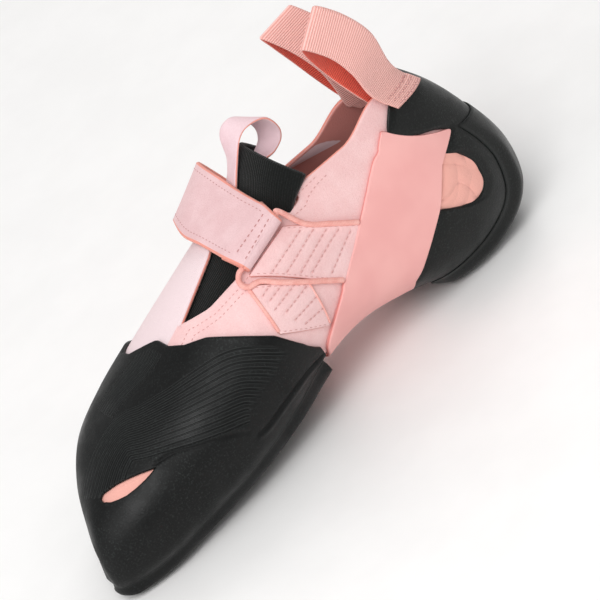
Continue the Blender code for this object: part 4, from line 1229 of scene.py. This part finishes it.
@dataclass
class HeelRubber:
    """The thin black rubber around the heel, with a bite out of each side and a wing at the top."""
    rows: int = 200
    columns: int = 130
    thin: float = 0.55 * MM

    def build(self, wardrobe: Wardrobe) -> None:
        """Makes the heel rubber."""
        table = np.array(HEEL_EDGE)
        stations = np.interp(np.linspace(0.0, len(table) - 1, self.rows), np.arange(len(table)), table[:, 0])
        half = flowing_line(table[:, 1:], self.rows)[:, 0]
        places, turns = strip(stations, -half, half, self.columns)
        edge = smooth_step(1.0 - (half[:, None] - np.abs(turns)) / 7.0)
        top = SIZES.clearance + SIZES.heel_rubber - self.thin * edge
        # The edge mark lightens the rubber near its border with a painted highlight.
        shell = Shell.over(places, turns, BED, top, marks={"edge": edge * 0.25}, roundness=0.5)
        dress("heel_rubber", shell, wardrobe.heel_rubber, Slot.BLACK_RUBBER, ["heel_cup"], edge=0.5)


@dataclass
class Sling:
    """The smooth salmon band from the collar down one side, under the arch and up the other."""
    rows: int = 230
    columns: int = 60
    crown: float = 0.25 * MM

    def build(self, wardrobe: Wardrobe) -> None:
        """Makes the band."""
        front, back = (
            even_line(LAST.straight(np.concatenate([half, half[-2::-1] * (1.0, -1.0)])), self.rows, rounds)
            for half, rounds in ((np.array(SLING_FRONT), 16), (np.array(SLING_BACK), 3)))
        share = np.linspace(0.0, 1.0, self.columns)[None, :, None]
        grid = front[:, None] + (back - front)[:, None] * share
        top = SIZES.clearance + SIZES.sling_rubber + self.crown
        shell = Shell.over(grid[..., 0], grid[..., 1], BED, top, roundness=0.4)
        dress("arch_sling", shell, wardrobe.salmon, Slot.SALMON_RUBBER, ["sling"], edge=1.0)


@dataclass
class SidePanels:
    """The two stitched panels between the throat, the toe rubber and the sling."""
    steps: int = 90
    quilt_depth: float = 0.22 * MM
    quilt_width: float = 0.75 * MM
    high: Tuple[Table, Table] = (((10.67, 138.6), (12.35, 109.8)), ((8.10, 141.5), (9.50, 91.8)))
    low: Tuple[Table, Table] = (((7.93, 138.5), (8.83, 107.2)), ((7.66, 109.0), (8.42, 80.5)))
    high_rows: Table = ((11.03, 131.2, 8.50, 130.0), (11.42, 126.8, 8.68, 122.2), (11.67, 122.2, 8.90, 114.9),
                        (11.83, 117.9, 9.10, 109.6), (11.86, 113.4, 9.46, 101.0))
    low_rows: Table = ((8.29, 127.5, 7.92, 129.2), (8.46, 121.0, 7.93, 124.1), (8.63, 114.6, 7.92, 118.4),
                       (8.76, 107.8, 7.95, 112.0), (8.71, 99.2, 8.02, 104.0), (8.63, 91.0, 8.12, 96.1))
    sewing: Stitching = Stitching(2.35 * MM, 1.6 * MM, 0.34 * MM)

    def build(self, wardrobe: Wardrobe) -> None:
        """Makes both panels, sews them and lays the piping along the lower one."""
        stitches, top = [], SIZES.clearance + SIZES.panel
        for name, node, rails, rows in (("high_panel", "side_panel_upper", self.high, self.high_rows),
                                        ("low_panel", "side_panel_lower", self.low, self.low_rows)):
            grid = LAST.patch(rails, self.steps, self.steps)
            lines = [LAST.seam(row[:2], row[2:], top) for row in rows]
            reach = np.min([nearest_on(LAST.thread(grid, top)[0], line[0])[0] for line in lines], axis=0)
            # The channel sinks the panel along each seam, and its mark paints shade there.
            sunk_shade = np.exp(-(reach / self.quilt_width) ** 2)
            shell = Shell.over(grid[..., 0], grid[..., 1], BED, top - self.quilt_depth * sunk_shade,
                               marks={"sunk_shade": sunk_shade * 0.55}, roundness=0.6)
            dress(name, shell, wardrobe.suede, Slot.PALE_MICROFIBRE, [node], edge=1.0)
            stitches += lines + [LAST.thread(grid[row, 4:-4], top) for row in (3, -4)]
        put("panel_stitches", self.sewing.mesh("panel_stitches", stitches), wardrobe.thread)
        for name, start, end, lift, radius in (
                ("panel_piping", (7.90, 141.0), (7.66, 110.0), 0.95 * MM, 0.75 * MM),
                ("side_piping", (8.83, 107.5), (8.46, 81.0), 1.15 * MM, 0.48 * MM)):
            route = LAST.seam(start, end, lift)[0]
            put(name, tube(name, route, radius, 10), wardrobe.piping)


@dataclass
class Insole:
    """The felt lining of the sole board inside the shoe."""
    rows: int = 90
    columns: int = 50
    gap: float = 0.2 * MM
    edge: Table = ((2.3, 40.0), (4.0, 50.0), (7.0, 52.0), (9.0, 44.0), (12.0, 42.0), (12.9, 30.0))

    def build(self, wardrobe: Wardrobe) -> None:
        """Makes the insole."""
        stations = np.linspace(self.edge[0][0], self.edge[-1][0], self.rows)
        half = between(self.edge, stations)
        places, turns = strip(stations, -half, half, self.columns)
        top = -SIZES.upper_wall - self.gap
        shell = Shell.over(places, turns, top - SIZES.insole, top)
        dress("felt_insole", shell, wardrobe.felt, Slot.INSOLE_FELT, ["insole"])


@dataclass
class Strap:
    """The closing strap with its fold around the cord, and the cord itself."""
    columns: int = 34
    ripple: float = 0.12 * MM
    rows: Table = (
        (0.483, 0.018, 0.858, 0.576, 0.048, 0.934), (0.472, 0.131, 0.899, 0.578, 0.143, 0.961),
        (0.467, 0.315, 0.924, 0.570, 0.298, 1.007), (0.465, 0.464, 0.916, 0.570, 0.464, 1.020),
        (0.475, 0.595, 0.909, 0.571, 0.619, 1.025), (0.488, 0.696, 0.875, 0.578, 0.732, 1.000),
        (0.505, 0.738, 0.773, 0.594, 0.768, 0.903), (0.521, 0.742, 0.638, 0.614, 0.752, 0.771),
        (0.536, 0.748, 0.511, 0.631, 0.738, 0.625), (0.552, 0.750, 0.386, 0.649, 0.728, 0.477))
    rear_run: Table = ((12.38, 111.8), (12.10, 121.0), (11.62, 131.5))
    front_turn: Table = ((0.459, 0.018, 0.834), (0.465, -0.008, 0.805))
    front_run: Table = ((8.15, 134.0), (8.42, 122.5), (8.78, 110.5), (9.15, 100.7), (9.48, 93.4))
    edge_rows: Tuple[float, float] = (0.10, 0.90)
    bar_rows: Tuple[float, float] = (0.283, 0.308)
    edge_sewing: Stitching = Stitching(2.2 * MM, 1.6 * MM, 0.30 * MM)
    bar_sewing: Stitching = Stitching(2.3 * MM, 1.7 * MM, 0.52 * MM)

    @property
    def fold_radius(self) -> float:
        """Radius of the fold's middle layer."""
        return SIZES.cord / 2 + 1.6 * SIZES.clearance + SIZES.strap / 2

    def fold(self) -> Tuple[Array, Array, Array, Array]:
        """Edges from the rear to the front, the fold's axis points, its inward and upward directions."""
        edges = place(np.array(self.rows).reshape(-1, 2, 3)[:, ::-1])
        inward = unit(edges[1] - edges[0])
        upward = unit(np.cross(inward, edges[0, 1] - edges[0, 0]))
        return edges, edges[0] + self.fold_radius * inward, inward, upward

    def centre(self) -> Array:
        """The strap's middle layer: back tail, half circle around the cord, run over the instep."""
        edges, axis, inward, upward = self.fold()
        gap, radius = SIZES.strap + SIZES.clearance, self.fold_radius
        drops = ((0.8, radius - 2.0 * gap), (0.55, radius - 1.8 * gap), (0.30, -0.4 * radius))
        tail = [axis + SIZES.strap_fold * along * inward + rise * upward for along, rise in drops]
        bend = [axis + radius * (math.cos(turn) * inward + math.sin(turn) * upward)
                for turn in np.radians((-90.0, -120.0, -150.0, 180.0, 150.0, 120.0, 90.0))]
        run = flowing_line(edges[1:], 22)
        run[:3] += radius * upward * np.linspace(1.0, 0.0, 4)[1:, None, None]
        rail = flowing_line(np.concatenate([np.array(tail), np.array(bend), run]), 220)
        share = np.linspace(0.0, 1.0, self.columns)[None, :, None]
        return rail[:, :1] + (rail[:, 1:] - rail[:, :1]) * share

    def build(self, wardrobe: Wardrobe) -> None:
        """Makes the strap, its stitches and the cord."""
        centre = self.centre()
        length = cloth_of(centre)
        ripple = self.ripple * np.sin(length[..., 1] * 230.0 + length[..., 0] * 140.0)
        centre = centre + ripple[..., None] * grid_normals(centre)
        raw_edge = np.zeros(centre.shape[:2])
        raw_edge[:, [0, -1]] = 1.0
        shell = ribbon_shell(centre, SIZES.strap, {"edge": raw_edge})
        dress("strap_band", shell, wardrobe.strap_suede, Slot.PALE_MICROFIBRE, ["strap"], edge=1.0)
        normals = grid_normals(centre)
        surface = centre + SIZES.strap / 2 * normals
        along, across = np.linspace(0.315, 0.985, 120), np.linspace(0.09, 0.91, 30)
        for name, sewing, runs in (
                ("strap_edge_stitches", self.edge_sewing, [(along, spot) for spot in self.edge_rows]),
                ("strap_bar_stitches", self.bar_sewing, [(spot, across) for spot in self.bar_rows])):
            spots = [np.broadcast_arrays(*run) for run in runs]
            lines = [(read_grid(surface, *spot), read_grid(normals, *spot)) for spot in spots]
            put(name, sewing.mesh(name, lines), wardrobe.dark_thread)
        self.cord(wardrobe)

    def cord(self, wardrobe: Wardrobe) -> None:
        """Makes the tension cord from the sling, through the fold, back to the sling."""
        lift = SIZES.cord / 2 + SIZES.clearance
        axis = self.fold()[1]
        through = axis[0] + (axis[1] - axis[0]) * np.array([-0.09, 0.0, 0.33, 0.67, 1.0, 1.13])[:, None]
        points = np.concatenate([LAST.thread(np.array(self.rear_run), lift)[0], through,
                                 place(self.front_turn), LAST.thread(np.array(self.front_run), lift)[0]])
        mesh = tube("tension_piping", flowing_line(points, 260), SIZES.cord / 2, 16)
        put("tension_piping", mesh, wardrobe.piping, ["tension_cord"])


@dataclass
class Tongue:
    """The padded knit tongue and the pull loop at its top."""
    steps: int = 120
    columns: int = 70
    half_arch: float = 76.0
    rows: Table = (
        (0.499, 0.310, 0.862, 0.220, 0.140, 0.200, 0.10), (0.536, 0.345, 0.905, 0.240, 0.125, 0.210, 0.20),
        (0.577, 0.385, 0.965, 0.270, 0.115, 0.220, 0.35), (0.601, 0.400, 1.045, 0.295, 0.120, 0.230, 0.50),
        (0.625, 0.410, 1.105, 0.310, 0.125, 0.235, 0.70))
    base: Table = ((6.15, 158.0, 192.0), (6.80, 148.0, 196.0), (7.45, 139.0, 202.0), (8.00, 131.0, 208.0))
    loop: Table = (
        (0.551, 0.415, 0.962, -0.10, 0.90, -0.06), (0.571, 0.415, 0.983, 0.15, 0.90, -0.05),
        (0.597, 0.420, 1.076, 0.10, 0.85, -0.12), (0.617, 0.422, 1.184, -0.25, 0.80, 0.10),
        (0.641, 0.422, 1.213, -0.30, 0.80, 0.20), (0.668, 0.422, 1.180, -0.45, 0.70, 0.10),
        (0.680, 0.422, 1.105, -0.50, 0.70, 0.10), (0.674, 0.422, 1.048, -0.45, 0.70, 0.05),
        (0.655, 0.420, 1.018, -0.35, 0.75, 0.00), (0.636, 0.417, 1.010, -0.20, 0.85, -0.20),
        (0.619, 0.413, 0.996, -0.15, 0.85, -0.40), (0.606, 0.410, 0.950, -0.15, 0.85, -0.40))
    loop_steps: int = 140
    loop_columns: int = 12

    def build(self, wardrobe: Wardrobe) -> None:
        """Makes the tongue and its loop."""
        places, turns = strip(*np.array(self.base).T, self.columns)
        depth = -SIZES.upper_wall - 3.5 * SIZES.clearance - SIZES.tongue / 2
        bend = np.radians(np.linspace(-self.half_arch, self.half_arch, self.columns))
        arches = []
        for crest_x, crest_y, crest_z, inner, outer, drop, slant in self.rows:
            fall = drop * SIZES.instep_height * (1.0 - np.cos(bend) ** 0.5)
            side = np.where(bend < 0.0, inner, outer) * SIZES.ball_width * np.sin(bend)
            arches.append(place((crest_x, crest_y, crest_z)) + np.stack([slant * fall, side, -fall], -1))
        grid = flowing_line(np.concatenate([LAST.skin(places, turns, depth), np.array(arches)]), self.steps)
        thickness = SIZES.tongue * (0.9 + 0.1 * np.sin(np.linspace(0.0, math.pi, self.columns)))
        piece = dress("tongue_pad", ribbon_shell(grid, thickness, None, 0.95), wardrobe.knit,
                      Slot.BLACK_KNIT, ["tongue"])
        grid = flowing_line(tape_grid(self.loop, SIZES.tongue_tape_width, self.loop_columns), self.loop_steps)
        dress("tongue_loop", ribbon_shell(grid, SIZES.tongue_tape, None, 0.9), wardrobe.mauve_suede,
              Slot.PALE_MICROFIBRE, ["tongue_pull_loop"], edge=1.0)


def tape_grid(rows: Table, width: float, columns: int) -> Array:
    """Points along and across a tape, from its middles and the direction of its width."""
    table = np.array(rows)
    across = unit(table[:, 3:]) * width / 2
    return place(table[:, :3])[:, None] + across[:, None] * np.linspace(-1.0, 1.0, columns)[None, :, None]


@dataclass
class HeelLoops:
    """The two grosgrain pull loops that straddle the collar's rim at the heel."""
    inner: Table = (
        (0.857, 0.125, 1.114, 0.80, 0.35, 0.05), (0.850, 0.101, 1.273, 0.85, 0.10, 0.45),
        (0.830, 0.113, 1.409, 0.75, 0.00, 0.66), (0.800, 0.143, 1.511, 0.75, 0.00, 0.66),
        (0.806, 0.195, 1.432, 0.75, 0.00, 0.60), (0.826, 0.238, 1.284, 0.80, 0.10, 0.40),
        (0.842, 0.230, 1.130, 0.80, 0.35, 0.05))
    outer: Table = (
        (0.857, 0.440, 1.023, 0.85, -0.30, 0.12), (0.848, 0.435, 1.159, 0.95, -0.10, 0.16),
        (0.826, 0.458, 1.307, 0.98, 0.00, 0.16), (0.797, 0.500, 1.432, 0.98, 0.00, 0.16),
        (0.812, 0.560, 1.330, 0.98, 0.00, 0.16), (0.834, 0.595, 1.182, 0.95, -0.10, 0.16),
        (0.852, 0.571, 1.034, 0.85, -0.30, 0.12))

    columns: int = 24
    steps: int = 220
    sewn: Tuple[float, ...] = (16.35, 16.60, 16.85)
    turns: Tuple[float, float] = (60.0, 27.0)
    seams: Tuple[float, ...] = (16.40, 16.56, 16.72)
    zigzag: float = 0.06
    sewing: Stitching = Stitching(1.7 * MM, 1.2 * MM, 0.40 * MM)

    def build(self, wardrobe: Wardrobe) -> None:
        """Makes both loops and sews them down."""
        half = SIZES.heel_tape / 2
        outside = 3.0 * SIZES.clearance + SIZES.heel_rubber + SIZES.cup_sag + half
        inside = -SIZES.upper_wall - 2.0 * SIZES.clearance - half
        step = np.arange(240)
        teeth = self.zigzag * (np.abs((step / 12.0) % 2.0 - 1.0) - 0.5)
        stitches = []
        for name, node, rows, side, start, end in (
                ("inner_heel_loop", "heel_loop_inner", self.inner, 1.0, outside, inside),
                ("outer_heel_loop", "heel_loop_outer", self.outer, -1.0, inside, outside)):
            first, last = (side * turn for turn in self.turns)
            level, bend = np.meshgrid(self.sewn, np.linspace(first, last, self.columns), indexing="ij")
            rail = np.concatenate([LAST.skin(level, bend, start),
                                   tape_grid(rows, SIZES.heel_tape_width, self.columns),
                                   LAST.skin(level[::-1], bend, end)])
            shell = ribbon_shell(flowing_line(rail, self.steps)[:, ::-1], SIZES.heel_tape)
            dress(name, shell, wardrobe.tape, Slot.CORAL_WEBBING, [node], edge=1.0)
            run = np.linspace(first * 0.95, last * 1.08, len(step))
            stitches += [LAST.thread(np.stack([station + teeth, run], -1), outside + half)
                         for station in self.seams]
        put("loop_stitches", self.sewing.mesh("loop_stitches", stitches), wardrobe.dark_thread)


@dataclass
class Studio:
    """Pale floor, soft lights and the camera at the photograph's angle."""
    azimuth: float = -15.0
    elevation: float = 33.0
    roll: float = -32.0
    distance: float = 1.8
    pixels_per_mm: float = 2.63
    target: Tuple[float, float, float] = (0.00190, 0.00326, 0.0450)
    target_pixel: Tuple[float, float] = (263.0, 295.0)
    frame_pixels: float = 600.0
    sensor: float = 36.0
    floor_reach: float = 1.6
    sky: float = 0.46
    lamps: Tuple[Tuple[str, Tuple[float, float, float], float, float], ...] = (
        ("key", (-0.5, -0.9, 1.3), 0.9, 15.0), ("fill", (-1.2, -0.3, 0.7), 0.8, 4.0),
        ("rim", (0.7, 0.7, 1.0), 0.7, 4.5))
    lit_spot: Tuple[float, float, float] = (0.0, 0.0, 0.05)

    def build(self, wardrobe: Wardrobe) -> None:
        """Puts floor, lights, world and camera in the scene."""
        floor = bpy.data.meshes.new("studio_floor")
        corners = [(-1.0, -1.0, 0.0), (1.0, -1.0, 0.0), (1.0, 1.0, 0.0), (-1.0, 1.0, 0.0)]
        floor.from_pydata((np.array(corners) * self.floor_reach).tolist(), [], [(0, 1, 2, 3)])
        floor.materials.append(wardrobe.floor)
        ground = bpy.data.objects.new("studio_floor", floor)
        bpy.context.scene.collection.objects.link(ground)
        self.lights()
        self.camera()

    def lights(self) -> None:
        """A large soft key from above the inner side, a fill from the toe and a rim from behind."""
        world = bpy.data.worlds.new("studio_world")
        bpy.context.scene.world = world
        world.use_nodes = True
        background = world.node_tree.nodes["Background"]
        background.inputs["Color"].default_value = (1.0, 1.0, 1.0, 1.0)
        background.inputs["Strength"].default_value = self.sky
        for name, spot, size, power in self.lamps:
            light = bpy.data.lights.new(name, "AREA")
            light.size, light.energy = size, power
            lamp = bpy.data.objects.new(name, light)
            bpy.context.scene.collection.objects.link(lamp)
            lamp.location = spot
            axes = look_axes(np.array(spot) - np.array(self.lit_spot), np.array([0.0, 0.0, 1.0]))
            lamp.rotation_euler = Matrix(axes.tolist()).transposed().to_euler()
        bpy.context.scene.view_settings.view_transform = "Standard"

    def camera(self) -> None:
        """The camera, rolled as in the photograph."""
        azimuth, elevation, roll = np.radians((self.azimuth, self.elevation, self.roll))
        back = np.array([math.sin(azimuth) * math.cos(elevation), -math.cos(azimuth) * math.cos(elevation),
                         math.sin(elevation)])
        level = np.array([math.cos(azimuth), math.sin(azimuth), 0.0])
        rise = np.cross(back, level)
        right = math.cos(roll) * level + math.sin(roll) * rise
        above = -math.sin(roll) * level + math.cos(roll) * rise
        half = self.frame_pixels / 2
        shift_right = (half - self.target_pixel[0]) / self.pixels_per_mm * MM
        shift_up = (self.target_pixel[1] - half) / self.pixels_per_mm * MM
        aim = np.array(self.target) + shift_right * right + shift_up * above
        camera = bpy.data.cameras.new("photo_camera")
        camera.sensor_width = self.sensor
        camera.lens = self.sensor * self.distance / (self.frame_pixels / self.pixels_per_mm * MM)
        viewer = bpy.data.objects.new("photo_camera", camera)
        bpy.context.scene.collection.objects.link(viewer)
        axes = np.stack([right, above, back], 1)
        matrix = np.eye(4)
        matrix[:3, :3], matrix[:3, 3] = axes, aim + self.distance * back
        viewer.matrix_world = Matrix(matrix.tolist())
        bpy.context.scene.camera = viewer


def look_axes(back: Array, up: Array) -> Array:
    """Right, up and back directions of something that looks away from the back direction."""
    back = unit(back)
    right = unit(np.cross(up, back))
    return np.stack([right, np.cross(back, right), back])


def main() -> None:
    """Builds every piece, then the studio around them."""
    logging.basicConfig(level=logging.INFO, format="%(name)s %(message)s")
    wardrobe = Wardrobe()
    for piece in (Upper(), ToeRubber(), Soles(), HeelRubber(), Sling(), SidePanels(), Insole(), Strap(),
                  Tongue(), HeelLoops(), Studio()):
        piece.build(wardrobe)
        LOG.info("%s done", type(piece).__name__)


if __name__ == "__main__":
    main()
